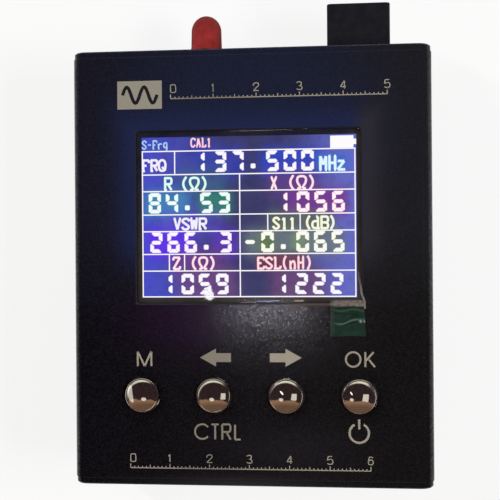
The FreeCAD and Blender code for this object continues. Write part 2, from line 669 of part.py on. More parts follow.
def board_spacers():
    """Four threaded hexagonal spacers between the boards."""
    spacers = []
    height = DISPLAY_BOARD_BOTTOM - MAIN_BOARD_TOP
    for x, y in spacer_places():
        spacer = standing_hexagon(x, y, SPACER_ACROSS, MAIN_BOARD_TOP, DISPLAY_BOARD_BOTTOM)
        spacers.append(spacer.cut(rod(x, y, MAIN_BOARD_TOP, SPACER_HOLE, height)))
    return Part.makeCompound(spacers)


def pan_screw(x, y, seat, out):
    """Pan-head screw whose head sits on a board's face and whose shank runs through it."""
    head_bottom = seat if out > 0 else seat - PAN_HEIGHT
    shank_bottom = seat - PAN_LENGTH if out > 0 else seat
    head = rod(x, y, head_bottom, PAN_RADIUS, PAN_HEIGHT)
    shank = rod(x, y, shank_bottom, PAN_SHANK, PAN_LENGTH)
    slot_bottom = seat + PAN_HEIGHT - SCREW_SLOT_DEPTH if out > 0 else seat - PAN_HEIGHT
    slot = block(x, y, slot_bottom, 2 * PAN_RADIUS, SCREW_SLOT_WIDTH, SCREW_SLOT_DEPTH)
    return joined([head, shank]).cut(slot)


def spacer_screws(seat, out):
    """Four screws that hold one board to the spacers."""
    return Part.makeCompound([pan_screw(x, y, seat, out) for x, y in spacer_places()])


def board_header():
    """Plastic body of the board-to-board header, with a square hole for each pin."""
    height = DISPLAY_BOARD_BOTTOM - MAIN_BOARD_TOP
    width = HEADER_COLUMNS * HEADER_PITCH
    body = block(0, HEADER_Y, MAIN_BOARD_TOP, width, HEADER_ROWS * HEADER_PITCH, height)
    return without(body, [block(x, y, MAIN_BOARD_TOP, PIN_SIZE, PIN_SIZE, height) for x, y in pin_places()])


def header_pins():
    """Square pins through both boards."""
    bottom = MAIN_BOARD_BOTTOM - PIN_TAIL
    height = DISPLAY_BOARD_TOP + PIN_TAIL - bottom
    return Part.makeCompound([block(x, y, bottom, PIN_SIZE, PIN_SIZE, height) for x, y in pin_places()])


# ---- Coaxial jack --------------------------------------------------------------------------------
def sma_jack():
    """Jack body: threaded barrel, square flange behind the end plate, and legs that straddle the board."""
    root = THREAD_RADIUS - THREAD_DEPTH
    profile = [(0, HALF_BODY), (THREAD_RADIUS, HALF_BODY)]
    turns = int((THREAD_END - TOP_FACE) / THREAD_PITCH) - 1
    for turn in range(turns):
        start = TOP_FACE + THREAD_PITCH * (turn + 1) - THREAD_PITCH / 2
        end = start + THREAD_PITCH - THREAD_FLAT
        profile += [(THREAD_RADIUS, start), (root, (start + end) / 2), (THREAD_RADIUS, end)]
    profile += [(THREAD_RADIUS, THREAD_END - THREAD_DEPTH), (root, THREAD_END), (0, THREAD_END)]
    barrel = turned(profile, JACK_X, JACK_HEIGHT)
    half = JACK_FLANGE / 2
    back = HALF_BODY - JACK_FLANGE_THICKNESS
    flange = slab((JACK_X - half, JACK_HEIGHT - half), (JACK_X + half, JACK_HEIGHT + half),
                  back, HALF_BODY, SMALL_CORNER, "XZ")
    legs = []
    for side in (-1, 1):
        leg_x = JACK_X + side * (half - LEG_SIZE / 2)
        for bottom in (MAIN_BOARD_TOP, MAIN_BOARD_BOTTOM - LEG_SIZE):
            legs.append(block(leg_x, back - LEG_LENGTH / 2, bottom, LEG_SIZE, LEG_LENGTH, LEG_SIZE))
    bore = rod(JACK_X, back, JACK_HEIGHT, INSULATOR_RADIUS, JACK_FLANGE_THICKNESS + THREAD_LENGTH, "Y")
    mouth = rod(JACK_X, THREAD_END - JACK_RECESS, JACK_HEIGHT, JACK_BORE, JACK_RECESS, "Y")
    return without(joined([barrel, flange] + legs), [bore, mouth])


def sma_insulator():
    """White sleeve between the jack's body and its contact."""
    back = HALF_BODY - JACK_FLANGE_THICKNESS
    front = THREAD_END - JACK_RECESS
    sleeve = rod(JACK_X, back, JACK_HEIGHT, INSULATOR_RADIUS, front - back, "Y")
    return sleeve.cut(rod(JACK_X, back, JACK_HEIGHT, CONTACT_RADIUS, front - back, "Y"))


def sma_contact():
    """Centre contact with a socket in front and a thin tail that lies on the board."""
    back = HALF_BODY - JACK_FLANGE_THICKNESS
    front = THREAD_END - JACK_RECESS
    body = rod(JACK_X, back, JACK_HEIGHT, CONTACT_RADIUS, front - back, "Y")
    tail = rod(JACK_X, back - CONTACT_TAIL, JACK_HEIGHT, CONTACT_TAIL_RADIUS, CONTACT_TAIL, "Y")
    bore = rod(JACK_X, front - CONTACT_BORE_DEPTH, JACK_HEIGHT, CONTACT_BORE, CONTACT_BORE_DEPTH, "Y")
    return joined([body, tail]).cut(bore)


def sma_washer():
    """Washer under the jack's nut."""
    ring = rod(JACK_X, TOP_FACE, JACK_HEIGHT, WASHER_RADIUS, WASHER_THICKNESS, "Y")
    return ring.cut(rod(JACK_X, TOP_FACE, JACK_HEIGHT, THREAD_RADIUS + THREAD_GAP, WASHER_THICKNESS, "Y"))


def sma_nut():
    """Hexagonal nut that clamps the jack to the end plate."""
    start = TOP_FACE + WASHER_THICKNESS
    step = NUT_FACE - PLATE_CHAMFER
    reach = NUT_ACROSS / math.sqrt(3)
    body = hexagon(JACK_X, JACK_HEIGHT, NUT_ACROSS, start, NUT_FACE)
    straight = rod(JACK_X, start, JACK_HEIGHT, reach, step - start, "Y")
    chamfered = cone(JACK_X, step, JACK_HEIGHT, reach, NUT_ACROSS / 2, PLATE_CHAMFER)
    bore = rod(JACK_X, start, JACK_HEIGHT, THREAD_RADIUS + THREAD_GAP, NUT_THICKNESS, "Y")
    return body.common(joined([straight, chamfered])).cut(bore)


def sma_dust_cap():
    """Soft push-on cap: slightly tapered outside, straight bore, round end."""
    start = NUT_FACE + COVER_SEAT_GAP
    end = THREAD_END + THREAD_GAP + DUST_CAP_END
    outside = cone(JACK_X, start, JACK_HEIGHT, DUST_CAP_RADIUS, DUST_CAP_TOP_RADIUS, end - start)
    rim = [e for e in outside.Edges if len(e.Vertexes) == 1 and abs(e.CenterOfMass.y - end) < 1e-6]
    outside = outside.makeFillet(DUST_CAP_ROUND, rim)
    bore = rod(JACK_X, start, JACK_HEIGHT, THREAD_RADIUS + THREAD_GAP, THREAD_END + THREAD_GAP - start, "Y")
    return outside.cut(bore)


# ---- Charging socket, its cover and the charge light ---------------------------------------------
def usb_box(shrink, start, end, radius=0.0):
    """Block along Y with the socket's section, shrunk on all sides."""
    half = USB_WIDTH / 2 - shrink
    rise = USB_HEIGHT / 2 - shrink
    low = (USB_X - half, USB_HEIGHT_MID - rise)
    high = (USB_X + half, USB_HEIGHT_MID + rise)
    return slab(low, high, start, end, radius, "XZ")


def usb_shell():
    """Folded metal shell of the socket, closed at the back."""
    back = USB_MOUTH - USB_LENGTH
    return usb_box(0, back, USB_MOUTH, SMALL_CORNER).cut(usb_box(USB_WALL, back + USB_WALL, USB_MOUTH))


def usb_tongue():
    """Plastic tongue inside the socket, with the block that holds it."""
    back = USB_MOUTH - USB_LENGTH + USB_WALL
    base = usb_box(USB_WALL, back, back + TONGUE_BAR_BASE)
    bar = slab((USB_X - TONGUE_BAR_WIDTH / 2, USB_HEIGHT_MID - TONGUE_BAR_HEIGHT / 2),
               (USB_X + TONGUE_BAR_WIDTH / 2, USB_HEIGHT_MID + TONGUE_BAR_HEIGHT / 2),
               back, back + TONGUE_BAR_BASE + TONGUE_BAR_LENGTH, plane="XZ")
    return joined([base, bar])


def usb_port_cover():
    """Push-in cover: a block outside, and a hollow stub that goes round the tongue."""
    start = TOP_FACE + COVER_SEAT_GAP
    end = TOP_FACE + COVER_LENGTH
    low = (USB_X - COVER_WIDTH / 2, USB_HEIGHT_MID - COVER_HEIGHT / 2)
    high = (USB_X + COVER_WIDTH / 2, USB_HEIGHT_MID + COVER_HEIGHT / 2)
    grip = slab(low, high, start, end, COVER_ROUND, "XZ")
    grip = grip.makeFillet(PLATE_CHAMFER, [e for e in grip.Edges if abs(e.CenterOfMass.y - end) < 1e-6])
    stub = usb_box(USB_WALL + STUB_GAP, start - STUB_LENGTH, start, SMALL_CORNER)
    half = TONGUE_BAR_WIDTH / 2 + STUB_GAP
    rise = TONGUE_BAR_HEIGHT / 2 + STUB_GAP
    pocket = slab((USB_X - half, USB_HEIGHT_MID - rise), (USB_X + half, USB_HEIGHT_MID + rise),
                  start - STUB_LENGTH, start - PLATE_CHAMFER, plane="XZ")
    return joined([grip, stub]).cut(pocket)


def charge_led():
    """Side-facing light behind its hole in the end plate, with a round lens."""
    front = MAIN_BOARD_FRONT_EDGE
    back = front - LIGHT_LENGTH
    body = slab((LIGHT_X - LIGHT_BODY, back), (LIGHT_X + LIGHT_BODY, front),
                MAIN_BOARD_TOP, MAIN_BOARD_TOP + LIGHT_BODY)
    lens_length = HALF_BODY + PLATE_THICKNESS / 2 - front
    lens = rod(LIGHT_X, front, MAIN_BOARD_TOP + LIGHT_BODY / 2, LIGHT_HOLE - THREAD_GAP, lens_length, "Y")
    return joined([body, lens])


# ---- Parts on the main board ---------------------------------------------------------------------
def rf_shield_can():
    """Thin metal can over the radio parts, open below."""
    outer = block(CAN_X, CAN_Y, MAIN_BOARD_TOP, CAN_WIDTH, CAN_LENGTH, CAN_HEIGHT)
    inner = block(CAN_X, CAN_Y, MAIN_BOARD_TOP, CAN_WIDTH - 2 * CAN_WALL, CAN_LENGTH - 2 * CAN_WALL,
                  CAN_HEIGHT - CAN_WALL)
    return outer.cut(inner)


def processor_chip():
    """Flat square chip with bent leads on all four sides."""
    package = block(CHIP_X, CHIP_Y, MAIN_BOARD_TOP + LEAD_THICKNESS, CHIP_SIZE, CHIP_SIZE, CHIP_HEIGHT)
    solids = [package]
    reach = CHIP_SIZE / 2 + LEAD_LENGTH
    for index in range(CHIP_LEADS):
        along = LEAD_PITCH * (index - (CHIP_LEADS - 1) / 2)
        bar_x = block(CHIP_X, CHIP_Y + along, MAIN_BOARD_TOP, 2 * reach, LEAD_WIDTH, 2 * LEAD_THICKNESS)
        bar_y = block(CHIP_X + along, CHIP_Y, MAIN_BOARD_TOP, LEAD_WIDTH, 2 * reach, 2 * LEAD_THICKNESS)
        solids += [bar_x, bar_y]
    return joined(solids)


def crystal():
    """Oval metal can of the clock crystal, lying along X."""
    low = (CRYSTAL_X - CRYSTAL_LENGTH / 2, CRYSTAL_Y - CRYSTAL_WIDTH / 2)
    high = (CRYSTAL_X + CRYSTAL_LENGTH / 2, CRYSTAL_Y + CRYSTAL_WIDTH / 2)
    return slab(low, high, MAIN_BOARD_TOP, MAIN_BOARD_TOP + CRYSTAL_HEIGHT, CRYSTAL_WIDTH / 2)


def power_inductor():
    """Drum-shaped inductor of the power supply."""
    flange = INDUCTOR_HEIGHT / 4
    lower = rod(INDUCTOR_X, INDUCTOR_Y, MAIN_BOARD_TOP, INDUCTOR_RADIUS, flange)
    winding = rod(INDUCTOR_X, INDUCTOR_Y, MAIN_BOARD_TOP, INDUCTOR_WAIST, INDUCTOR_HEIGHT)
    upper = rod(INDUCTOR_X, INDUCTOR_Y, MAIN_BOARD_TOP + INDUCTOR_HEIGHT - flange, INDUCTOR_RADIUS, flange)
    return joined([lower, winding, upper])


def chip_capacitors():
    """A row of small ceramic capacitors."""
    row = []
    for index in range(CAPACITOR_COUNT):
        x = CAPACITOR_X + CAPACITOR_PITCH * (index - (CAPACITOR_COUNT - 1) / 2)
        row.append(block(x, CAPACITOR_Y, MAIN_BOARD_TOP,
                         CAPACITOR_WIDTH, CAPACITOR_LENGTH, CAPACITOR_HEIGHT))
    return Part.makeCompound(row)


# ---- Battery -------------------------------------------------------------------------------------
def battery_cell():
    """Flat pouch cell with rounded long edges."""
    return slab((-CELL_WIDTH / 2, CELL_BOTTOM), (CELL_WIDTH / 2, CELL_BOTTOM + CELL_THICKNESS),
                CELL_Y - CELL_LENGTH / 2, CELL_END, CELL_ROUND, "XZ")


def battery_pad():
    """Adhesive foam pad between the cell and the back of the case."""
    half_x = CELL_WIDTH / 2 - PAD_MARGIN
    half_y = CELL_LENGTH / 2 - PAD_MARGIN
    return slab((-half_x, CELL_Y - half_y), (half_x, CELL_Y + half_y), CASE_WALL, CELL_BOTTOM)


def battery_guard():
    """Small protection board against the cell's end."""
    bottom = CELL_BOTTOM + (CELL_THICKNESS - GUARD_THICKNESS) / 2
    return block(0, CELL_END + GUARD_LENGTH / 2, bottom, GUARD_WIDTH, GUARD_LENGTH, GUARD_THICKNESS)


def socket_box(shrink, low_y, high_y):
    """Block hanging under the main board with the battery socket's section, shrunk on all sides."""
    half = SOCKET_WIDTH / 2 - shrink
    return slab((SOCKET_X - half, low_y), (SOCKET_X + half, high_y),
                MAIN_BOARD_BOTTOM - SOCKET_DEPTH + shrink, MAIN_BOARD_BOTTOM - shrink)


def battery_socket():
    """Two-way socket under the main board, open towards the battery."""
    low_y = SOCKET_Y - SOCKET_LENGTH / 2
    high_y = SOCKET_Y + SOCKET_LENGTH / 2
    return socket_box(0, low_y, high_y).cut(socket_box(SOCKET_WALL, low_y, high_y - SOCKET_WALL))


def battery_plug():
    """Plug on the battery's leads, seated in the socket."""
    low_y = SOCKET_Y - SOCKET_LENGTH / 2 - PLUG_PROUD
    return socket_box(SOCKET_WALL, low_y, low_y + PLUG_LENGTH + PLUG_PROUD / 2)


def battery_lead(side):
    """One round lead from the protection board up to the plug: three straight runs and two arcs."""
    x = SOCKET_X + side * LEAD_CABLE_PITCH / 2
    plug_end = SOCKET_Y - SOCKET_LENGTH / 2 - PLUG_PROUD
    start = FreeCAD.Vector(x, CELL_END + GUARD_LENGTH, CELL_BOTTOM + CELL_THICKNESS / 2)
    end = FreeCAD.Vector(x, plug_end, MAIN_BOARD_BOTTOM - SOCKET_DEPTH / 2)
    first = FreeCAD.Vector(x, start.y + LEAD_END_RUN, start.z)
    second = FreeCAD.Vector(x, end.y - LEAD_END_RUN, end.z)
    path = rounded_path([start, first, second, end])
    section = Part.Wire(Part.makeCircle(LEAD_CABLE_RADIUS, start, first.sub(start)))
    return path.makePipeShell([section], True, True)


def rounded_path(points):
    """Wire of straight runs with a tangent arc at each inner point."""
    edges = []
    last = points[0]
    for before, corner, after in zip(points, points[1:], points[2:]):
        back = before.sub(corner)
        on = after.sub(corner)
        trim = LEAD_ARC_SHARE * min(back.Length, on.Length)
        turn = math.pi - back.getAngle(on)
        radius = trim / math.tan(turn / 2)
        back.normalize()
        on.normalize()
        start = corner.add(back * trim)
        end = corner.add(on * trim)
        inward = back.add(on)
        inward.normalize()
        reach = radius / math.cos(turn / 2) - radius
        edges.append(Part.makeLine(last, start))
        edges.append(Part.Arc(start, corner.add(inward * reach), end).toShape())
        last = end
    edges.append(Part.makeLine(last, points[-1]))
    return Part.Wire(edges)


# ---- The whole assembly --------------------------------------------------------------------------
def build():
    """Every piece by its node's name."""
    pieces = {
        "front_shell": front_shell(),
        "rear_shell": rear_shell(),
        "top_end_plate": top_end_plate(),
        "bottom_end_plate": bottom_end_plate(),
        "top_end_screws": end_screws(1),
        "bottom_end_screws": end_screws(-1),
        "lcd_glass": lcd_glass(),
        "lcd_backlight": lcd_backlight(),
        "lcd_holder": lcd_holder(),
        "lcd_flex_cable": lcd_flex_cable(),
        "screen_film": screen_film(),
        "pull_tab": pull_tab(),
        "switch_bodies": switch_bodies(),
        "switch_covers": switch_covers(),
        "display_board": display_board(),
        "main_board": main_board(),
        "board_spacers": board_spacers(),
        "display_board_screws": spacer_screws(DISPLAY_BOARD_TOP, 1),
        "main_board_screws": spacer_screws(MAIN_BOARD_BOTTOM, -1),
        "board_header": board_header(),
        "header_pins": header_pins(),
        "sma_jack": sma_jack(),
        "sma_insulator": sma_insulator(),
        "sma_contact": sma_contact(),
        "sma_washer": sma_washer(),
        "sma_nut": sma_nut(),
        "sma_dust_cap": sma_dust_cap(),
        "usb_shell": usb_shell(),
        "usb_tongue": usb_tongue(),
        "usb_port_cover": usb_port_cover(),
        "charge_led": charge_led(),
        "rf_shield_can": rf_shield_can(),
        "processor_chip": processor_chip(),
        "crystal": crystal(),
        "power_inductor": power_inductor(),
        "chip_capacitors": chip_capacitors(),
        "battery_cell": battery_cell(),
        "battery_pad": battery_pad(),
        "battery_guard": battery_guard(),
        "battery_socket": battery_socket(),
        "battery_plug": battery_plug(),
        "battery_lead_black": battery_lead(-1),
        "battery_lead_red": battery_lead(1),
    }
    for index, name in enumerate(BUTTON_NAMES):
        pieces["cap_" + name] = button_cap(index)
        pieces["plunger_" + name] = switch_plunger(index)
    return pieces


os.makedirs("parts", exist_ok=True)
for node, shape in build().items():
    shape.exportStep("parts/" + node + ".step")
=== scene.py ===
"""Looks of a hand-held antenna analyzer, built around its fixed frame of solids.

Laid out as an add-on: each operator makes one piece, or one group of like pieces. Everything is in
metres and in the frame's own axes: +X right across the face, +Y to the connectors, +Z out of the face.
Shader maths counts in millimetres, and the display's tables count in its pixels.
"""
import bpy
import json
import math
from mathutils import Matrix, Quaternion, Vector


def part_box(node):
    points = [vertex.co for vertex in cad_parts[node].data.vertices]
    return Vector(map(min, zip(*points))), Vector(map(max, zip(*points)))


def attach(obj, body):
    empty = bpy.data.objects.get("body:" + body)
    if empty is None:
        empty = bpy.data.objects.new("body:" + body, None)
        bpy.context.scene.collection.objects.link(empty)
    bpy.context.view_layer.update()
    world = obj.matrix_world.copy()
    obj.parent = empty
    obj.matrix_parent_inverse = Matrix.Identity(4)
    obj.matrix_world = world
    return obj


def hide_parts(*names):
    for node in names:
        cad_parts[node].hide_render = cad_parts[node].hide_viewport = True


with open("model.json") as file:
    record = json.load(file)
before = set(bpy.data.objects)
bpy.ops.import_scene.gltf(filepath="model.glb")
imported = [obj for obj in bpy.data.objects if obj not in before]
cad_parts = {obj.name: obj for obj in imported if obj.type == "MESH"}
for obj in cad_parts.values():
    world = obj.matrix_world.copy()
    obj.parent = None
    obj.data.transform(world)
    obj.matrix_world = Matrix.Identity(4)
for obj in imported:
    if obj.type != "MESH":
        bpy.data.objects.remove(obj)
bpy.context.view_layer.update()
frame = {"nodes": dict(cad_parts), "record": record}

bl_info = {
    "name": "Antenna analyzer looks",
    "version": (1, 0, 0),
    "blender": (4, 5, 0),
    "location": "View3D > Sidebar > Analyzer",
    "description": "Finishes, display, key marks and soft caps of a hand-held antenna analyzer",
    "category": "Object",
}

MM = 0.001
TINY = 0.0001 * MM


# ---- Places read from the frame ----
def middle_of(node):
    low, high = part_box(node)
    return (low + high) / 2


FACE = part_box("front_shell")[1].z
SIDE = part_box("front_shell")[1].x
END = -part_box("bottom_end_plate")[0].y
SEAM = -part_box("bottom_end_plate")[1].y
DOMES = ("cap_menu", "cap_left", "cap_right", "cap_ok")
GLASS_LOW, GLASS_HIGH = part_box("lcd_glass")
FILM_LOW, FILM_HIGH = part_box("screen_film")
CAP_LOW, CAP_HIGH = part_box("sma_dust_cap")
CAP_CENTRE = middle_of("sma_dust_cap")
WINDOW_LIP = 0.6 * MM
WINDOW_LOW = Vector((FILM_LOW.x + WINDOW_LIP, -8.22 * MM, FACE))
WINDOW_HIGH = Vector((FILM_HIGH.x - WINDOW_LIP, FILM_HIGH.y - WINDOW_LIP, FACE))

# ---- The display's own grid ----
PIXEL = 0.153 * MM
COLUMNS = 320
ROWS = 240
ACTIVE_LEFT = middle_of("lcd_glass").x - COLUMNS * PIXEL / 2
ACTIVE_TOP = middle_of("lcd_glass").y + ROWS * PIXEL / 2
GLASS_RECESS = 0.03 * MM
INK_BOTTOM = GLASS_HIGH.z - GLASS_RECESS
INK_HEIGHT = 0.024 * MM


def rgb(red, green, blue):
    """Linear colour with alpha from 8-bit display values."""
    linear = []
    for value in (red, green, blue):
        share = value / 255
        linear.append(share / 12.92 if share <= 0.04045 else ((share + 0.055) / 1.055) ** 2.4)
    return (*linear, 1.0)


def toned(colour, share, lift=0.0):
    """A darker or paler colour: each channel times a share, plus a lift, and 1 at most."""
    return (*(min(1.0, channel * share + lift) for channel in colour[:3]), 1.0)


# ---- Sizes and colours that a user would change ----
def colour_property(name, description, default):
    return bpy.props.FloatVectorProperty(name=name, description=description, size=4, min=0, max=1,
                                         subtype="COLOR", default=default)


def number_property(name, description, default, **kind):
    return bpy.props.FloatProperty(name=name, description=description, min=0, default=default, **kind)


LENGTH = {"unit": "LENGTH"}
POWER = {"unit": "POWER"}
SHARE = {"subtype": "FACTOR", "max": 1}


# The face's corner colours are the anodising's near-black with painted light in them: bluer at the top,
# darker and more purple at the lower left.
class CaseLook(bpy.types.PropertyGroup):
    left: colour_property("Lower left", "Anodising at the lower left", rgb(12, 9, 16))
    right: colour_property("Lower right", "Anodising at the lower right", rgb(19, 18, 17))
    upper_left: colour_property("Upper left", "Anodising at the upper left", rgb(23, 23, 36))
    upper_right: colour_property("Upper right", "Anodising at the upper right", rgb(30, 30, 34))
    # Top: painted glow of the display over the anodising above the window.
    glow: colour_property("Top", "Bluer anodising above the window", rgb(29, 35, 58))
    edge: colour_property("Cut edge", "Cut edge round the window", rgb(44, 44, 54))
    roughness: number_property("Roughness", "Roughness of the blasted surface", 0.13, **SHARE)
    grain: number_property("Grain size", "Size of the blasted grain", 0.34 * MM, **LENGTH)


class PrintLook(bpy.types.PropertyGroup):
    colour: colour_property("Print colour", "Silver-grey screen print", rgb(176, 169, 154))
    stroke: number_property("Stroke width", "Width of the key marks' strokes", 0.45 * MM, **LENGTH)
    fine: number_property("Fine stroke width", "Width of the scales' strokes", 0.24 * MM, **LENGTH)
    height: number_property("Ink height", "How far the print stands off the face", 0.02 * MM, **LENGTH)


class ScreenLook(bpy.types.PropertyGroup):
    left: colour_property("Backlight, left", "Lit panel at its left", rgb(66, 72, 196))
    middle: colour_property("Backlight, middle", "Lit panel in its middle", rgb(50, 50, 99))
    right: colour_property("Backlight, right", "Lit panel at its right", rgb(97, 102, 195))
    line: number_property("Line width", "Width of the table's lines", 1.75 * PIXEL, **LENGTH)
    segment: number_property("Segment width", "Width of one bar of a digit", 6.1 * PIXEL, **LENGTH)


class SoftLook(bpy.types.PropertyGroup):
    vinyl: colour_property("Vinyl", "Dust cap's red vinyl", rgb(170, 55, 55))
    rubber: colour_property("Rubber", "Port cover's black rubber", rgb(33, 33, 39))
    tab: colour_property("Pull tab", "Green film of the pull tab", rgb(16, 52, 38))


class StageLook(bpy.types.PropertyGroup):
    floor: colour_property("Floor", "Pale floor", rgb(247, 247, 246))
    whiteness: number_property("Whiteness", "How far the seen floor is plain white", 0.84, **SHARE)
    key: number_property("Key lamp", "Power of the main lamp", 4.6, **POWER)
    fill: number_property("Fill lamp", "Power of the fill lamp", 4.0, **POWER)
    top: number_property("Top lamp", "Power of the small top lamp", 0.12, **POWER)


class AnalyzerSettings(bpy.types.PropertyGroup):
    case: bpy.props.PointerProperty(type=CaseLook, name="Case", description="Case finish")
    marks: bpy.props.PointerProperty(type=PrintLook, name="Print", description="Print on the face")
    screen: bpy.props.PointerProperty(type=ScreenLook, name="Screen", description="Lit display")
    soft: bpy.props.PointerProperty(type=SoftLook, name="Soft parts", description="Caps and pull tab")
    stage: bpy.props.PointerProperty(type=StageLook, name="Stage", description="Floor and lamps")


def settings():
    return bpy.context.scene.analyzer


# ---- Shader maths ----
class Wire:
    """One output socket, so that shader maths reads as plain maths."""

    def __init__(self, finish, socket):
        self.finish = finish
        self.socket = socket

    def __add__(self, other):
        return self.finish.maths("ADD", self, other)

    def __sub__(self, other):
        return self.finish.maths("SUBTRACT", self, other)

    def __rsub__(self, other):
        return self.finish.maths("SUBTRACT", other, self)

    def __mul__(self, other):
        return self.finish.maths("MULTIPLY", self, other)

    def __abs__(self):
        return self.finish.maths("ABSOLUTE", self)

    __radd__ = __add__
    __rmul__ = __mul__

    def most(self, other):
        return self.finish.maths("MAXIMUM", self, other)

    def above(self, start, end):
        """0 up to start, 1 from end, and smooth between them. It falls if start is over end."""
        low, high = sorted((start, end))
        sockets = {"Value": self, "From Min": low, "From Max": high,
                   "To Min": float(start > end), "To Max": float(start < end)}
        return self.finish.node("MapRange", sockets, interpolation_type="SMOOTHSTEP")


def near(size, aside, over=0.0):
    """1 where both distances are 0, and softly down to 0 over about twice the size."""
    square = aside * aside + over * over
    return square.finish.maths("EXPONENT", square * (-1 / (size * size)))


class Finish:
    """The nodes of one material, or of the world."""

    def __init__(self, owner, place="Object"):
        owner.use_nodes = True
        self.owner = owner
        self.tree = owner.node_tree
        self.tree.nodes.clear()
        self.place = self.node("TexCoord", output=place)

    def node(self, kind, sockets=None, output=0, **options):
        """Adds a node: first its settings, then its sockets' values and links."""
        node = self.tree.nodes.new("ShaderNode" + kind)
        for name, value in options.items():
            setattr(node, name, value)
        for name, value in (sockets or {}).items():
            if isinstance(value, Wire):
                self.tree.links.new(value.socket, node.inputs[name])
            else:
                node.inputs[name].default_value = value
        return Wire(self, node.outputs[output]) if node.outputs else None

    def maths(self, operation, *values):
        return self.node("Math", dict(enumerate(values)), operation=operation)

    def axes(self, scale=1 / MM):
        """The place's x, y and z, in millimetres."""
        apart = self.node("SeparateXYZ", {0: self.place}).socket.node
        return [Wire(self, socket) * scale for socket in apart.outputs]

    def noise(self, size, detail=2.0, roughness=0.5, place=None):
        """Soft noise from 0 to 1 whose blotches are about as large as size, in metres."""
        return self.node("TexNoise", {"Vector": place or self.place, "Scale": 1 / size, "Detail": detail,
                                      "Roughness": roughness})

    def mix(self, factor, first, second):
        return self.node("Mix", {0: factor, 6: first, 7: second}, output=2, data_type="RGBA")

    def coated(self, colour, *coats):
        """A colour under coats of other colours, each one given as (strength, colour)."""
        for strength, coat in coats:
            colour = self.mix(strength, colour, coat)
        return colour

    def bump(self, height, distance, strength=1.0, **under):
        """Bumps over the surface's own normal, or over those of a Normal that is given."""
        return self.node("Bump", {"Height": height, "Distance": distance, "Strength": strength, **under})

    def shader(self, **values):
        """The Principled shader, with its sockets' names written with _ for a space."""
        sockets = {name.replace("_", " "): value for name, value in values.items()}
        self.node("OutputMaterial", {"Surface": self.node("BsdfPrincipled", sockets)})
        return self.owner


def new_finish(name):
    return Finish(bpy.data.materials.new("look_" + name))


def look_of(slot):
    """The finish of a slot's solids."""
    return bpy.data.materials["look_" + slot]


# ---- Finishes ----
# Sizes of painted light and shade on the face, in millimetres: the display's glow above the window, its halo
# round the window's edge, and the shade round the caps.
TOP_GLOW_Y = 33.0
TOP_GLOW_RADIUS = 34.0
HALO = 4.5
CAP_SHADOW = 4.4
# Painted light on the face, in millimetres: centre, half width and half height, strength and colour. A
# purple glow left under the window, a faint paler patch low on the face, and a highlight on the lower edge.
PAINTED_LIGHT_SPOTS = (
    (-14.8, -11.2, 11.5, 8.0, 0.9, rgb(33, 16, 42)),
    (8.8, -41.0, 15.0, 5.5, 0.6, rgb(34, 32, 37)),
    (-2.5, -49.0, 17.0, 1.7, 0.8, rgb(47, 46, 49)),
)


def outside_window(x, y):
    """How far a place is outside the window's edge, in millimetres. It is negative inside."""
    centre = (WINDOW_LOW + WINDOW_HIGH) / 2 / MM
    half = (WINDOW_HIGH - WINDOW_LOW) / 2 / MM
    return (abs(x - centre.x) - half.x).most(abs(y - centre.y) - half.y)


def anodised_tones(finish, x, y, from_window, on_face):
    """Broad tones of the anodising with painted light, the display's painted glow round the window and
    painted shade round the caps.
    """
    look = settings().case
    cloud = finish.noise(14 * MM, 3.0)
    # Broad tones: darker and more purple at the lower left, greyer at the right, bluer at the top. This is
    # partly painted light from the display.
    across = (x - y * 0.35 + cloud * 20.0).above(-40.0, 52.0)
    lower = finish.mix(across, look.left[:], look.right[:])
    upper = finish.mix(across, look.upper_left[:], look.upper_right[:])
    # Painted glow: the display's light on the face above the window.
    aside = x * 0.85
    over = y - TOP_GLOW_Y
    glow = (aside * aside + over * over).above(TOP_GLOW_RADIUS ** 2, 0.0) * on_face
    # Painted glow round the window's edge: bluer at the left and top, greyer at the right.
    halo = near(HALO, from_window.most(0.0)) * y.above(-5.0, 8.0) * on_face
    halo_colour = finish.mix(x.above(22.0, 27.0), rgb(33, 43, 84), rgb(54, 52, 58))
    coats = [((y + cloud * 8.0).above(-14.0, 16.0), upper), (glow * 0.8, look.glow[:]),
             (halo * 0.7, halo_colour)]
    # Painted light: stray glow and highlights on the face.
    for centre_x, centre_y, wide, tall, strength, tint in PAINTED_LIGHT_SPOTS:
        spot = near(1.0, (x - centre_x) * (1 / wide), (y - centre_y) * (1 / tall))
        coats.append((spot * strength * on_face, tint))
    for dome in DOMES:
        centre = middle_of(dome) / MM
        coats.append((near(CAP_SHADOW, x - centre.x, y - centre.y), rgb(5, 4, 6)))
    return finish.coated(lower, *coats)


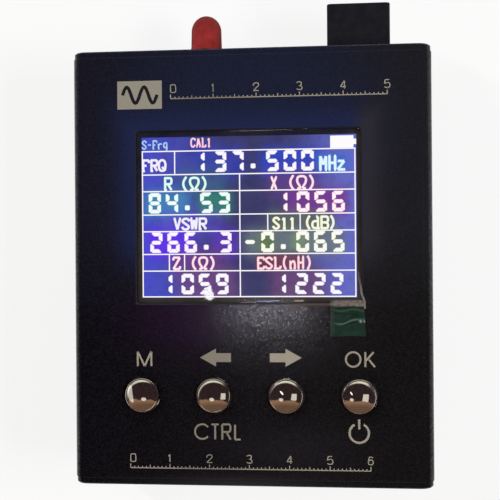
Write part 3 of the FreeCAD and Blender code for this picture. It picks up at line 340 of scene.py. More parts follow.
def case_finish(finish):
    """Black anodising over a blasted grain, with a cut edge round the window, a painted highlight along its
    lower edge, and paler, worn outer edges.
    """
    look = settings().case
    x, y, z = finish.axes()
    face, side, end, plate_seam = (length / MM for length in (FACE, SIDE, END, SEAM))
    from_window = outside_window(x, y)
    grain = finish.noise(look.grain, 1.5, 0.55)
    speck = grain.above(0.44, 0.62)
    worn_side = abs(x).above(side - 0.6, side) * z.above(face - 1.8, face - 0.6)
    worn_end = abs(y).above(end - 0.2, end) * z.above(face - 0.5, face - 0.2)
    seam = abs(abs(y) - plate_seam).above(0.16, 0.02) * z.above(face - 0.4, face - 0.2)
    worn = worn_side.most(worn_end).most(seam * 0.9)
    cut = from_window.above(0.27, 0.24) * z.above(face - 0.28, face - 0.24)
    # Painted highlight along the window's lower edge.
    lit_edge = (from_window.above(0.8, 0.2) * y.above(-8.0, -8.3) * x.above(2.0, 14.0)
                * z.above(face - 1.0, face - 0.2))
    tones = anodised_tones(finish, x, y, from_window, z.above(face - 1.0, face))
    colour = finish.coated(tones, (speck * 0.1, rgb(66, 66, 76)), (worn * grain * 0.5, rgb(74, 74, 84)),
                           (cut, look.edge[:]), (lit_edge * 0.8, rgb(84, 70, 62)))
    facets = finish.node("TexVoronoi", {"Vector": finish.place, "Scale": 1 / look.grain}, output="Color")
    return finish.shader(Base_Color=colour, Roughness=look.roughness + speck * 0.05,
                         Normal=finish.bump(grain, 0.01 * MM), Specular_IOR_Level=0.03,
                         Coat_Weight=facets * 0.72 - 0.08, Coat_Roughness=look.roughness)


def chrome_finish(finish):
    """Bright chrome with hairlines from handling and a few dull spots."""
    drawn = finish.node("Mapping", {"Vector": finish.place, "Scale": (1, 9, 9), "Rotation": (0, 0, 0.6)})
    hair = finish.noise(0.35 * MM, 4.0, place=drawn)
    dull = finish.noise(0.9 * MM, 3.0).above(0.55, 0.75)
    normal = finish.bump(finish.noise(1.4 * MM, 1.0), 0.004 * MM, 0.5)
    return finish.shader(Base_Color=finish.mix(dull * 0.35, rgb(226, 222, 216), rgb(190, 182, 170)),
                         Metallic=1.0, Roughness=0.045 + hair * 0.035 + dull * 0.06, Normal=normal)


def metal_finish(finish, colour, stained, roughness):
    """Plated, oxidised or foil metal: fine brushing, stains and a touch of tarnish."""
    drawn = finish.node("Mapping", {"Vector": finish.place, "Scale": (1, 12, 1)})
    brush = finish.noise(0.6 * MM, 3.0, place=drawn)
    stain = finish.noise(2.5 * MM, 3.0).above(0.45, 0.7)
    return finish.shader(Base_Color=finish.mix(stain * 0.6, colour, stained), Metallic=1.0,
                         Roughness=roughness + (brush - 0.5) * 0.2 + stain * 0.1,
                         Normal=finish.bump(brush, 0.004 * MM, 0.5))


def moulded_finish(finish, colour, roughness, grain=0.2 * MM, depth=0.01 * MM):
    """Moulded plastic or ceramic: faint flow marks and an eroded grain."""
    fine = finish.noise(grain, 3.0)
    tone = finish.coated(colour, (finish.noise(4 * MM), toned(colour, 0.72)),
                         (fine.above(0.5, 0.85) * 0.3, toned(colour, 1.5, 0.01)))
    return finish.shader(Base_Color=tone, Roughness=roughness + (fine - 0.5) * 0.2,
                         Normal=finish.bump(fine, depth, 0.7))


def vinyl_finish(finish, colour, dusty, round_cap=False):
    """Soft matt vinyl or rubber, faintly mottled and dusty. A round cap gets painted shade at its sides and
    its end.
    """
    skin = finish.noise(0.3 * MM, 3.0, 0.6)
    mottle = finish.noise(2.2 * MM, 3.0)
    dust = finish.noise(0.6 * MM).above(0.5, 0.8)
    coats = [(mottle.above(0.3, 0.75), toned(colour, 0.72)), (dust * dusty, toned(colour, 1.25, 0.06))]
    if round_cap:
        # Painted shade: darker low on the round cap's sides and towards its end.
        y, z = finish.axes()[1:]
        end = CAP_HIGH.y / MM
        low = abs(z - CAP_CENTRE.z / MM).above(3.3, 0.8) * 0.95
        coats.append((low.most(y.above(end - 6.0, end - 0.5) * 0.8), toned(colour, 0.4)))
    normal = finish.bump(skin, 0.012 * MM, 0.7, Normal=finish.bump(mottle, 0.05 * MM, 0.5))
    return finish.shader(Base_Color=finish.coated(colour, *coats), Roughness=0.6 + skin * 0.15,
                         Normal=normal, Specular_IOR_Level=0.15)


# The pull tab, in millimetres: its middle and half width, its crease, its upper edge, and its painted
# glints.
TAB_MIDDLE = 21.8
TAB_HALF = 3.75
TAB_CREASE = -12.45
TAB_UPPER_EDGE = -9.75
TAB_PAINTED_GLINTS = ((24.75, -12.2, 0.3), (25.6, -12.2, 0.24))


def tab_finish(finish, colour):
    """Green film: mottled where it came off its glue, paler at its edges, with a painted highlight along its
    crease and two painted glints.
    """
    x, y = finish.axes()[:2]
    mottle = finish.noise(1.3 * MM, 3.0)
    across = (x - TAB_MIDDLE) * (1 / TAB_HALF)
    crease = y - TAB_CREASE - across.most(-0.35) * 0.92 - finish.maths("SINE", across * 5.0) * 0.16
    # Painted highlight along the crease.
    pale = near(0.2, crease) * across.above(-1.05, -0.2) * (0.75 - across.above(0.5, 0.9) * 0.6)
    upper_edge = near(0.26, y - TAB_UPPER_EDGE - finish.maths("SINE", across * 4.2) * 0.22)
    coats = [(mottle.above(0.35, 0.7), rgb(9, 36, 27)), (pale, rgb(98, 124, 114))]
    # Painted glints on the tab.
    for glint_x, glint_y, size in TAB_PAINTED_GLINTS:
        coats.append((near(size, x - glint_x, y - glint_y) * 0.85, rgb(176, 196, 194)))
    coats += [(upper_edge * (0.35 + mottle * 0.5), rgb(78, 92, 84)),
              ((x + mottle).above(20.0, 18.6) * 0.5, rgb(58, 66, 62))]
    return finish.shader(Base_Color=finish.coated(colour, *coats), Roughness=0.3 + mottle * 0.1,
                         Alpha=0.9 + mottle * 0.08, Normal=finish.bump(mottle, 0.06 * MM, 0.6))


def board_finish(finish, colour):
    """Solder mask over glass fibre, with copper tracks showing through as paler lines."""
    black = (0, 0, 0, 1)
    weave = finish.node("TexWave", {"Vector": finish.place, "Scale": 700.0, "Distortion": 1.5})
    tracks = finish.node("TexBrick", {"Vector": finish.place, "Scale": 180.0, "Mortar Size": 0.05,
                                      "Color1": black, "Color2": black, "Mortar": (1, 1, 1, 1)})
    tone = finish.coated(colour, (tracks, toned(colour, 1.8)), (weave * 0.15, rgb(10, 40, 20)))
    return finish.shader(Base_Color=tone, Roughness=0.35 + weave * 0.1,
                         Normal=finish.bump(tracks, 0.02 * MM, 0.6))


def clear_finish(finish, colour, alpha, roughness):
    """Clear or translucent moulding or film with faint clouding and scuffs."""
    cloud = finish.noise(3 * MM)
    scuff = finish.noise(0.4 * MM, 3.0).above(0.55, 0.8)
    return finish.shader(Base_Color=finish.mix(cloud, colour, toned(colour, 0.7)),
                         Alpha=(alpha + (cloud - 0.5) * alpha * 0.4 + scuff * alpha * 0.2).most(0.01),
                         Roughness=roughness + scuff * 0.12)


# The film's milky fold, in millimetres: from clear to milky at its lower, upper and left side.
FOLD_LOWER = (-9.3, -8.3)
FOLD_UPPER = (-7.3, -8.2)
FOLD_LEFT = (17.6, 20.0)


def film_finish(finish, colour, alpha):
    """Clear film: faint clouding, and a milky fold where its lifted corner bends over the window's edge."""
    x, y = finish.axes()[:2]
    streak = finish.noise(0.7 * MM)
    fold = y.above(*FOLD_LOWER) * y.above(*FOLD_UPPER) * x.above(*FOLD_LEFT)
    return finish.shader(Base_Color=finish.mix(fold, colour, rgb(168, 146, 132)),
                         Alpha=finish.noise(3 * MM) * alpha + fold * (streak.above(0.3, 0.7) * 0.3 + 0.14),
                         Roughness=0.06 + streak * 0.08)


# Slots of plain metal: colour, colour of the stains, and roughness.
METALS = {
    "screw_black": (rgb(46, 46, 48), rgb(26, 25, 25), 0.4),
    "screw_steel": (rgb(190, 190, 192), rgb(150, 148, 145), 0.3),
    "brass": (rgb(214, 180, 110), rgb(170, 132, 70), 0.3),
    "gold_plate": (rgb(228, 196, 120), rgb(196, 156, 84), 0.22),
    "nickel": (rgb(200, 198, 192), rgb(160, 156, 148), 0.28),
    "cell_foil": (rgb(198, 200, 202), rgb(170, 172, 174), 0.35),
}
# Moulded slots: colour and roughness, and the grain's size and depth where they aren't the usual ones.
MOULDED = {
    "display_glass": (rgb(10, 10, 18), 0.12, 0.2 * MM, 0.0),
    "light_guide": (rgb(232, 234, 236), 0.35),
    "black_plastic": (rgb(36, 36, 36), 0.5),
    "white_plastic": (rgb(236, 233, 226), 0.4),
    "chip_black": (rgb(32, 32, 34), 0.55),
    "ferrite": (rgb(58, 58, 62), 0.6),
    "capacitor_tan": (rgb(172, 146, 112), 0.45),
    "foam_grey": (rgb(90, 90, 90), 0.9, 0.5 * MM, 0.1 * MM),
    "lead_red": (rgb(188, 34, 26), 0.45),
    "lead_black": (rgb(34, 34, 34), 0.45),
}


def make_slot_finishes():
    """Makes every material slot's finish."""
    soft = settings().soft
    case_finish(new_finish("case_finish"))
    chrome_finish(new_finish("button_chrome"))
    clear_finish(new_finish("flex_amber"), rgb(180, 110, 30), 0.92, 0.3)
    clear_finish(new_finish("lamp_clear"), rgb(225, 225, 220), 0.6, 0.1)
    film_finish(new_finish("film_clear"), rgb(205, 212, 218), 0.028)
    tab_finish(new_finish("tab_green"), soft.tab[:])
    board_finish(new_finish("board_green"), rgb(20, 84, 50))
    vinyl_finish(new_finish("cap_red"), soft.vinyl[:], 0.2, round_cap=True)
    vinyl_finish(new_finish("cover_black"), soft.rubber[:], 0.06)
    for slot, values in METALS.items():
        metal_finish(new_finish(slot), *values)
    for slot, values in MOULDED.items():
        moulded_finish(new_finish(slot), *values)


def give(piece, finish):
    """Gives a new piece its one material."""
    piece.data.materials.clear()
    piece.data.materials.append(finish)


# ---- Modelling steps that several pieces share ----
def select_only(*pieces):
    bpy.ops.object.select_all(action="DESELECT")
    for piece in pieces:
        piece.select_set(True)
    bpy.context.view_layer.objects.active = pieces[0]


def into_edit(piece):
    select_only(piece)
    bpy.ops.object.mode_set(mode="EDIT")
    bpy.ops.mesh.select_all(action="SELECT")


def out_of_edit():
    """Leaves edit mode with every face pointing outwards."""
    bpy.ops.mesh.select_all(action="SELECT")
    bpy.ops.mesh.normals_make_consistent(inside=False)
    bpy.ops.object.mode_set(mode="OBJECT")


def pick(kind, test):
    """Selects the faces, edges or vertices of the edited mesh whose middle passes a test."""
    bpy.ops.mesh.select_mode(type=kind)
    bpy.ops.mesh.select_all(action="DESELECT")
    bpy.ops.object.mode_set(mode="OBJECT")
    mesh = bpy.context.object.data
    for part in {"VERT": mesh.vertices, "EDGE": mesh.edges, "FACE": mesh.polygons}[kind]:
        corners = [mesh.vertices[index].co for index in getattr(part, "vertices", [part.index])]
        part.select = test(sum(corners, Vector()) / len(corners))
    bpy.ops.object.mode_set(mode="EDIT")


def draw_out(x=0.0, y=0.0, z=0.0):
    """Extrudes what is selected and moves the new part."""
    bpy.ops.mesh.extrude_region_move(TRANSFORM_OT_translate={"value": (x, y, z)})


def widen(centre, x=1.0, y=1.0, z=1.0):
    bpy.ops.transform.resize(value=(x, y, z), center_override=centre)


def grow(rows, across):
    """Extrudes what is selected along rows of (centre, width), and widens it along the axes across."""
    for (place, width), (next_place, next_width) in zip(rows, rows[1:]):
        draw_out(*(next_place - place))
        widen(next_place, **{axis: next_width / width for axis in across})


def spread(start, end, count):
    """Values from start to end in equal steps."""
    return [start + (end - start) * step / count for step in range(count + 1)]


def settle():
    bpy.ops.object.transform_apply(location=True, rotation=True, scale=True)


def new_object(name, data):
    piece = bpy.data.objects.new(name, data)
    bpy.context.scene.collection.objects.link(piece)
    return piece


def sheet(name, low_x, low_y, high_x, high_y, level):
    """Flat face to start a piece from."""
    bpy.ops.object.select_all(action="DESELECT")
    bpy.ops.mesh.primitive_plane_add(size=1, location=((low_x + high_x) / 2, (low_y + high_y) / 2, level))
    piece = bpy.context.object
    piece.name = name
    piece.scale = (high_x - low_x, high_y - low_y, 1)
    settle()
    return piece


def raised(name, low_x, low_y, high_x, high_y, bottom, height):
    """Closed block, drawn up from a flat face."""
    piece = sheet(name, low_x, low_y, high_x, high_y, bottom)
    into_edit(piece)
    draw_out(z=height)
    out_of_edit()
    return piece


def tubes(name, lines, radius, roundness, steps):
    """Closed round tubes along smooth lines of (x, y, z) points, as one mesh."""
    curve = bpy.data.curves.new(name, "CURVE")
    curve.dimensions = "3D"
    curve.bevel_depth = radius
    curve.bevel_resolution = roundness
    curve.use_fill_caps = True
    curve.resolution_u = steps
    for line in lines:
        spline = curve.splines.new("NURBS")
        spline.points.add(len(line) - 1)
        for point, place in zip(spline.points, line):
            point.co = (*place, 1)
        spline.order_u = min(3, len(line))
        spline.use_endpoint_u = True
    select_only(new_object(name, curve))
    bpy.ops.object.convert(target="MESH")
    return bpy.context.object


def inked(name, strokes, width, height, bottom):
    """Flat-lying bands along strokes of (x, y) points: round tubes, pressed flat."""
    lines = [[(x, y, 0) for x, y in stroke] for stroke in strokes]
    piece = tubes(name, lines, width / 2, 1, 5)
    piece.scale = (1, 1, height / width)
    piece.location = (0, 0, bottom + height / 2)
    settle()
    return piece


def gather(name, pieces):
    """Joins pieces into one, with its place in its mesh."""
    select_only(*pieces)
    if len(pieces) > 1:
        bpy.ops.object.join()
    piece = bpy.context.object
    piece.name = name
    piece.data.name = name
    settle()
    return piece


def copied(piece, place):
    """A copy with its own mesh, moved and turned by a matrix."""
    twin = piece.copy()
    twin.data = piece.data.copy()
    twin.matrix_world = place
    bpy.context.scene.collection.objects.link(twin)
    return twin


def apply_modifier(piece, kind, **values):
    select_only(piece)
    modifier = piece.modifiers.new(kind.title(), kind)
    for name, value in values.items():
        setattr(modifier, name, value)
    bpy.ops.object.modifier_apply(modifier=modifier.name)


def smooth(piece, angle):
    select_only(piece)
    bpy.ops.object.shade_smooth_by_angle(angle=math.radians(angle))


# ---- Drawn letters ----
# Each letter is a list of strokes on a grid of 8 by 8 steps. A stroke is a list of points, each written
# as its x and y steps. A stroke of two points is straight, and a longer one is a smooth curve.
KEY_LETTERS = {
    "M": "00-08 08-40 40-88 88-80",
    "K": "00-08 03-78 34-80",
    "T": "08-88 40-48",
    "R": "00-08 08-48-88-84-44-04 44-80",
    "L": "00-08 00-70",
    "0": "40-10-01-07-18-78-87-81-70-40",
    "1": "40-48 26-48",
    "2": "05-08-88-85-43-00 00-80",
    "3": "07-18-78-75-54-34 34-54-83-80-10-01",
    "4": "60-68 68-02 02-82",
    "5": "78-18 18-04 04-25-85-80-10-01",
    "6": "77-58-18-01-20-60-82-65-25-03",
}
SCREEN_LETTERS = {
    "S": "86-78-28-06-25-63-82-60-10-02",
    "-": "14-74",
    "F": "18-10 08-88 88-86 14-54 00-30",
    "r": "15-10 00-30 04-15 13-35-75-74",
    "q": "78-38-17-14-33-73 78-70 50-80",
    "C": "88-86 87-68-28-06-02-20-60-82",
    "A": "10-48 48-80 23-63 00-20 60-80",
    "L": "20-28 08-38 00-80 80-82",
    "1": "40-48 26-48 20-60",
    "R": "10-18 08-48-88-84-44-14 44-80 00-30",
    "Q": "40-20-02-06-28-68-86-82-60-40 43-80",
    "M": "10-18 18-43 43-78 78-70 00-20 60-80",
    "H": "10-18 70-78 14-74 00-20 08-28 60-80 68-88",
    "z": "05-75 75-00 00-80",
    "X": "18-70 10-78 00-20 60-80 08-28 68-88",
    "V": "18-40 40-78 08-28 68-88",
    "W": "18-20 20-47 47-60 60-78 08-28 68-88",
    "(": "68-36-32-60",
    ")": "28-56-52-20",
    "O": "30-31-04-07-28-68-87-84-51-50 00-30 50-80",
    "d": "65-25-04-01-20-60 68-60 48-68 60-80",
    "B": "10-18 08-48-88-84-44-14 44-84-80-40-00",
    "Z": "08-88 88-00 00-80 08-06 80-82",
    "E": "18-10 08-88 88-86 14-54 00-80 80-82",
    "n": "15-10 05-15 00-30 13-35-75-70 50-80",
}
GRID = 8


def letter_strokes(alphabet, letter, left, base, width, height):
    """One letter's strokes as lists of (x, y)."""
    strokes = []
    for stroke in alphabet[letter].split():
        points = [(left + int(step[0]) * width / GRID, base + int(step[1]) * height / GRID)
                  for step in stroke.split("-")]
        strokes.append(points)
    return strokes


# ---- The display ----
# Painted glow of the readings on the lit panel: first column, top row, last column and bottom row, then
# the softness in pixels, the strength and the colour.
PAINTED_READING_GLOWS = (
    ((90, 28, 140, 50), 16, 0.6, rgb(44, 58, 190)),
    ((190, 30, 260, 50), 13, 0.9, rgb(28, 62, 196)),
    ((268, 34, 304, 48), 9, 0.8, rgb(70, 104, 204)),
    ((70, 64, 110, 74), 20, 0.7, rgb(52, 92, 130)),
    ((14, 92, 60, 108), 14, 0.9, rgb(60, 128, 186)),
    ((94, 92, 126, 108), 10, 0.9, rgb(42, 126, 108)),
    ((20, 148, 66, 170), 13, 0.95, rgb(92, 38, 236)),
    ((118, 148, 134, 170), 13, 0.8, rgb(88, 40, 190)),
    ((40, 120, 110, 136), 14, 0.4, rgb(92, 74, 206)),
    ((60, 182, 110, 194), 17, 0.8, rgb(104, 54, 128)),
    ((70, 210, 128, 230), 17, 0.8, rgb(108, 66, 128)),
    ((205, 64, 250, 76), 18, 0.75, rgb(92, 58, 132)),
    ((228, 90, 296, 108), 14, 0.9, rgb(112, 46, 142)),
    ((200, 122, 274, 134), 12, 0.9, rgb(88, 98, 92)),
    ((166, 150, 290, 166), 14, 0.85, rgb(104, 118, 126)),
    ((182, 152, 190, 164), 9, 0.8, rgb(96, 122, 66)),
    ((232, 152, 240, 164), 9, 0.7, rgb(122, 146, 106)),
    ((180, 182, 236, 190), 9, 0.7, rgb(112, 46, 62)),
    ((206, 208, 262, 232), 15, 0.8, rgb(106, 66, 116)),
)
# The table's lines: column, first row and last row, and below that the rows of the lines across.
LINES_DOWN = ((1, 21, 239), (318, 21, 239), (147.5, 56, 239), (50, 21, 56), (41, 175, 200), (64, 175, 200),
              (189, 116, 141), (237, 116, 141))
LINES_ACROSS = (21, 56, 81, 116, 141, 175, 200, 238.5)
# Left, top, right and bottom of the battery sign's body and tip.
BATTERY_SIGN = ((282, 2, 316, 20), (316, 7, 320, 15))
# Shares of the ink's height, which differ so that no two tops lie in one plane.
ACROSS_RISE = 0.8
DOWN_RISE = 0.9
SIGN_RISE = 0.85
LINE_WHITENING = 0.3
# Colours of the lit strokes' edges.
LIGHTS = {
    "white": rgb(214, 206, 240), "cyan": rgb(112, 224, 250), "azure": rgb(64, 168, 222),
    "mint": rgb(150, 246, 208), "rose": rgb(255, 158, 190), "coral": rgb(250, 112, 134),
    "violet": rgb(226, 176, 255), "lemon": rgb(226, 240, 150), "blush": rgb(255, 168, 190),
}
# Widths of the words' strokes in pixels, and the share of the ink's upper half over which they whiten.
WORD_STROKES = {"azure": (2.4, 2.2), "blush": (2.6, 2.2), "cyan": (4.3, 1.35)}
PLAIN_STROKE = (3.7, 1.35)
TAIL_DROP = 3
BRACKET_GROWTH = 1.18
# Words: letters, light, first column, baseline row, letter width, pitch and height, in pixels.
WORDS = (
    ("S-Frq", "azure", 1, 17, 6, 8, 12),
    ("CAL1", "blush", 75, 15, 6, 8, 12.5),
    ("FRQ", "white", 1, 50, 10, 12.5, 16),
    ("MHz", "cyan", 266, 52, 11, 13.4, 20),
    ("R", "mint", 34, 79, 11, 13, 18),
    ("(O)", "mint", 58, 79, 13, 15, 18),
    ("X", "rose", 194, 79, 9, 13, 17),
    ("(O)", "rose", 218, 79, 13, 15, 18),
    ("VSWR", "white", 48, 138, 11, 12.6, 16),
    ("S11", "lemon", 197, 138, 9, 12, 16),
    ("(dB)", "lemon", 243, 138, 11, 12, 17),
    ("Z", "rose", 47, 197, 10, 12, 17),
    ("(O)", "rose", 72, 197, 12, 14, 17),
    ("ESL", "coral", 173, 197, 10, 12.2, 16),
    ("(nH)", "coral", 209, 197, 9, 12, 17),
)
# Readings: characters, light, first column, and top row of the digits.
READINGS = (
    ("137.500", "white", 83, 22),
    ("84.53", "mint", 10, 83),
    ("1056", "rose", 206, 83),
    ("266.3", "violet", 12, 142),
    ("-0.065", "lemon", 153, 142),
    ("1059", "white", 33, 204),
    ("1222", "white", 203, 204),
)
DIGIT_PITCH = 26
DIGIT_WIDTH = 19 * PIXEL
DIGIT_HEIGHT = 31 * PIXEL
BAR_GAP = 0.15 * PIXEL
BAR_LENGTH = DIGIT_WIDTH - 2 * BAR_GAP
UPRIGHT_BAR_LENGTH = DIGIT_HEIGHT / 2 - BAR_GAP
BAR_SLOPE = 0.27
CORNER_CUT = 2.8 * PIXEL
DIGIT_WHITENING = 0.8
DOT_SIZE = 7.5 * PIXEL
DOT_COLUMN = 3
DOT_ROW = 19
# A digit's bars: how far each is right and up of its middle, in half widths and half heights, and its turn.
BAR_SPOTS = {
    "a": (0, 1, 0), "b": (1, 0.5, -90), "c": (1, -0.5, -90), "d": (0, -1, 180),
    "e": (-1, -0.5, 90), "f": (-1, 0.5, 90), "g": (0, 0, 0),
}
LIT_BARS = {
    "0": "abcdef", "1": "bc", "2": "abged", "3": "abgcd", "4": "fgbc", "5": "afgcd", "6": "afgecd",
    "7": "abc", "8": "abcdefg", "9": "abcdfg", "-": "g",
}
# Painted reflections in the dark strip under the lit area, in millimetres: left end, right end and colour.
STRIP_PAINTED_REFLECTIONS = ((1.6, 6.4, rgb(74, 80, 132)), (10.2, 11.8, rgb(150, 128, 104)))
STRIP_LOWER = (-7.95, -7.75)
STRIP_UPPER = (-7.5, -7.68)


def screen_colour(finish, column, row):
    """The lit panel's colour: three backlight colours across, with the readings' painted glow round them."""
    look = settings().screen
    coats = [(column.above(-10, 150), look.middle[:]), (column.above(200, 318), look.right[:])]
    # Painted glow round the readings.
    for (left, top, right, bottom), softness, strength, tint in PAINTED_READING_GLOWS:
        aside = (abs(column - (left + right) / 2) - (right - left) / 2).most(0.0)
        over = (abs(row - (top + bottom) / 2) - (bottom - top) / 2).most(0.0)
        coats.append((near(softness, aside, over) * strength, tint))
    return finish.coated(look.left[:], *coats)


def lit_panel_finish(finish):
    """The display's front: lit inside the active area, black mask round it, with a stray glow and painted
    reflections in the strip below.
    """
    x, y, z = finish.axes()
    column = (x - ACTIVE_LEFT / MM) * (MM / PIXEL)
    row = (ACTIVE_TOP / MM - y) * (MM / PIXEL)
    cloud = finish.noise(1.6 * MM, 3.0)
    lit = finish.mix(cloud.above(0.45, 0.8) * 0.25, screen_colour(finish, column, row), rgb(24, 22, 70))
    outside = (abs(column - COLUMNS / 2) - COLUMNS / 2).most(abs(row - ROWS / 2) - ROWS / 2)
    warm = row.above(20, 190).most(column.above(300, 322) * 0.8)
    mask = finish.coated(rgb(12, 12, 34), (warm, rgb(44, 37, 28)), (outside.above(0, 12), rgb(9, 9, 12)))
    strip = y.above(*STRIP_LOWER) * y.above(*STRIP_UPPER)
    coats = [(outside.above(-0.1, 0.1), mask)]
    # Painted reflections in the glass's dark strip under the lit area.
    for left, right, tint in STRIP_PAINTED_REFLECTIONS:
        coats.append((x.above(left - 0.4, left) * x.above(right + 0.4, right) * strip, tint))
    top = GLASS_HIGH.z / MM
    emission = finish.mix(z.above(top - 0.1, top - 0.05), rgb(5, 5, 8), finish.coated(lit, *coats))
    return finish.shader(Base_Color=finish.mix(cloud, rgb(4, 4, 7), rgb(8, 8, 12)), Roughness=0.03,
                         Emission_Color=emission, Emission_Strength=1.0)


def glowing_ink_finish(finish, tint, whitening):
    """Lit strokes, whiter to their middle: fully white after a share of the ink's upper half."""
    middle = (INK_BOTTOM + INK_HEIGHT / 2) / MM
    core = finish.axes()[2].above(middle, middle + INK_HEIGHT / MM / 2 * whitening)
    uneven = finish.noise(0.5 * MM).above(0.35, 0.7)
    edge = finish.mix(uneven * 0.3, tint, rgb(255, 250, 255))
    return finish.shader(Base_Color=rgb(10, 10, 10), Roughness=0.4, Emission_Strength=1.0,
                         Emission_Color=finish.mix(core, edge, rgb(255, 252, 255)))


def on_screen(column, row):
    """A pixel of the display as (x, y)."""
    return ACTIVE_LEFT + column * PIXEL, ACTIVE_TOP - row * PIXEL


def segment_bar(name, middle_bar):
    """A digit's bar along X: both ends pointed, or its outer edge longer with its corners cut."""
    width = settings().screen.segment
    half = width / 2
    bar = sheet(name, -BAR_LENGTH / 2, -half, BAR_LENGTH / 2, half, 0)
    into_edit(bar)
    if middle_bar:
        bpy.ops.mesh.subdivide()
        pick("VERT", lambda point: abs(point.y) > half / 2 and abs(point.x) > BAR_LENGTH / 4)
        widen((0, 0, 0), x=(BAR_LENGTH - width) / BAR_LENGTH)
    else:
        pick("VERT", lambda point: point.y < 0)
        widen((0, 0, 0), x=(BAR_LENGTH - 2 * width) / BAR_LENGTH)
        pick("VERT", lambda point: point.y > 0)
        bpy.ops.mesh.bevel(offset=CORNER_CUT, affect="VERTICES")
    bpy.ops.mesh.select_all(action="SELECT")
    draw_out(z=INK_HEIGHT / 2)
    pick("FACE", lambda point: point.z > INK_HEIGHT / 2 - TINY / 100)
    bpy.ops.mesh.inset(thickness=width * BAR_SLOPE, depth=INK_HEIGHT / 2, use_boundary=True)
    out_of_edit()
    return bar


def digit_places(character, column, row):
    """Where the lit bars of one character go: (kind of bar, matrix)."""
    half = settings().screen.segment / 2
    left, top = on_screen(column, row)
    places = []
    for bar in LIT_BARS[character]:
        across, up, turn = BAR_SPOTS[bar]
        if character == "1":
            across = 0
        upright = abs(turn) == 90
        x = left + DIGIT_WIDTH / 2 + across * (DIGIT_WIDTH / 2 - half)
        y = top - DIGIT_HEIGHT / 2 + up * (DIGIT_HEIGHT / 2 - (0 if upright else half))
        length = UPRIGHT_BAR_LENGTH if upright else BAR_LENGTH if up else BAR_LENGTH - half
        place = (Matrix.Translation((x, y, INK_BOTTOM)) @ Matrix.Rotation(math.radians(turn), 4, "Z")
                 @ Matrix.Diagonal((length / BAR_LENGTH, 1, 1, 1)))
        places.append(("edge" if up else "middle", place))
    return places


def point_dot(column, row):
    """The square decimal point of a reading."""
    left, top = on_screen(column + DOT_COLUMN, row + DOT_ROW)
    middle = Vector((left + DOT_SIZE / 2, top - DOT_SIZE / 2, INK_BOTTOM + INK_HEIGHT / 4))
    dot = raised("dot", left, top - DOT_SIZE, left + DOT_SIZE, top, INK_BOTTOM, INK_HEIGHT / 2)
    into_edit(dot)
    pick("EDGE", lambda point: min(abs(point.x - middle.x), abs(point.y - middle.y)) > DOT_SIZE / 3)
    bpy.ops.mesh.bevel(offset=DOT_SIZE / 4, segments=3, affect="EDGES")
    pick("FACE", lambda point: point.z > middle.z and (point - middle).xy.length < DOT_SIZE / 4)
    bpy.ops.mesh.inset(thickness=DOT_SIZE * 0.2, depth=INK_HEIGHT / 2)
    out_of_edit()
    return dot


class ANALYZER_OT_solids(bpy.types.Operator):
    """Give every solid of the frame its slot's finish"""
    bl_idname = "analyzer.solids"
    bl_label = "Finish the solids"

    def execute(self, context):
        make_slot_finishes()
        slots = {part["node"]: part["material_slot"] for part in frame["record"]["subparts"]}
        for name, node in frame["nodes"].items():
            node.data.materials.clear()
            node.data.materials.append(look_of(slots[name]))
        return {"FINISHED"}


# The display's back sheet shows past its front one along the right.
CONTACT_LEDGE = 3.4 * MM


class ANALYZER_OT_display(bpy.types.Operator):
    """Model the display's two glass sheets, lit from behind"""
    bl_idname = "analyzer.display"
    bl_label = "Display"

    def execute(self, context):
        low, high = GLASS_LOW, GLASS_HIGH
        bond = (low.z + high.z) / 2
        back = raised("back_sheet", low.x, low.y, high.x, high.y, low.z, bond - low.z)
        front = raised("front_sheet", low.x, low.y, high.x - CONTACT_LEDGE, high.y, bond, INK_BOTTOM - bond)
        display = gather("display_cell", [back, front])
        apply_modifier(display, "BEVEL", width=0.08 * MM, segments=2, limit_method="ANGLE")
        give(display, lit_panel_finish(new_finish("lit_panel")))
        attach(display, "case")
        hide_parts("lcd_glass")
        return {"FINISHED"}


def screen_block(left, top, right, bottom, rise):
    """A lit block between two pixels, with a share of the ink's height."""
    low_x, high_y = on_screen(left, top)
    high_x, low_y = on_screen(right, bottom)
    return raised("block", low_x, low_y, high_x, high_y, INK_BOTTOM, INK_HEIGHT * rise)


class ANALYZER_OT_table(bpy.types.Operator):
    """Draw the lines of the display's table and its battery sign"""
    bl_idname = "analyzer.table"
    bl_label = "Display table"

    def execute(self, context):
        half = settings().screen.line / 2 / PIXEL
        bars = [screen_block(0, row - half, COLUMNS - 1, row + half, ACROSS_RISE) for row in LINES_ACROSS]
        bars += [screen_block(column - half, first, column + half, last, DOWN_RISE)
                 for column, first, last in LINES_DOWN]
        bars += [screen_block(*place, SIGN_RISE) for place in BATTERY_SIGN]
        table = gather("display_table", bars)
        finish = glowing_ink_finish(new_finish("lit_lines"), rgb(238, 222, 250), LINE_WHITENING)
        give(table, finish)
        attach(table, "case")
        return {"FINISHED"}


class ANALYZER_OT_words(bpy.types.Operator):
    """Draw the names and units of the readings"""
    bl_idname = "analyzer.words"
    bl_label = "Display words"

    def execute(self, context):
        groups = {}
        for text, light, column, baseline, width, pitch, height in WORDS:
            strokes = groups.setdefault(light, [])
            for index, letter in enumerate(text):
                drop = TAIL_DROP if letter == "q" else 0
                tall = height * (BRACKET_GROWTH if letter in "()" else 1)
                x, y = on_screen(column + index * pitch, baseline + drop + (tall - height) / 2)
                strokes += letter_strokes(SCREEN_LETTERS, letter, x, y, width * PIXEL, tall * PIXEL)
        for light, strokes in groups.items():
            stroke, whitening = WORD_STROKES.get(light, PLAIN_STROKE)
            words = inked("words_" + light, strokes, stroke * PIXEL, INK_HEIGHT, INK_BOTTOM)
            finish = glowing_ink_finish(new_finish("lit_words_" + light), LIGHTS[light], whitening)
            give(words, finish)
            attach(words, "case")
        return {"FINISHED"}


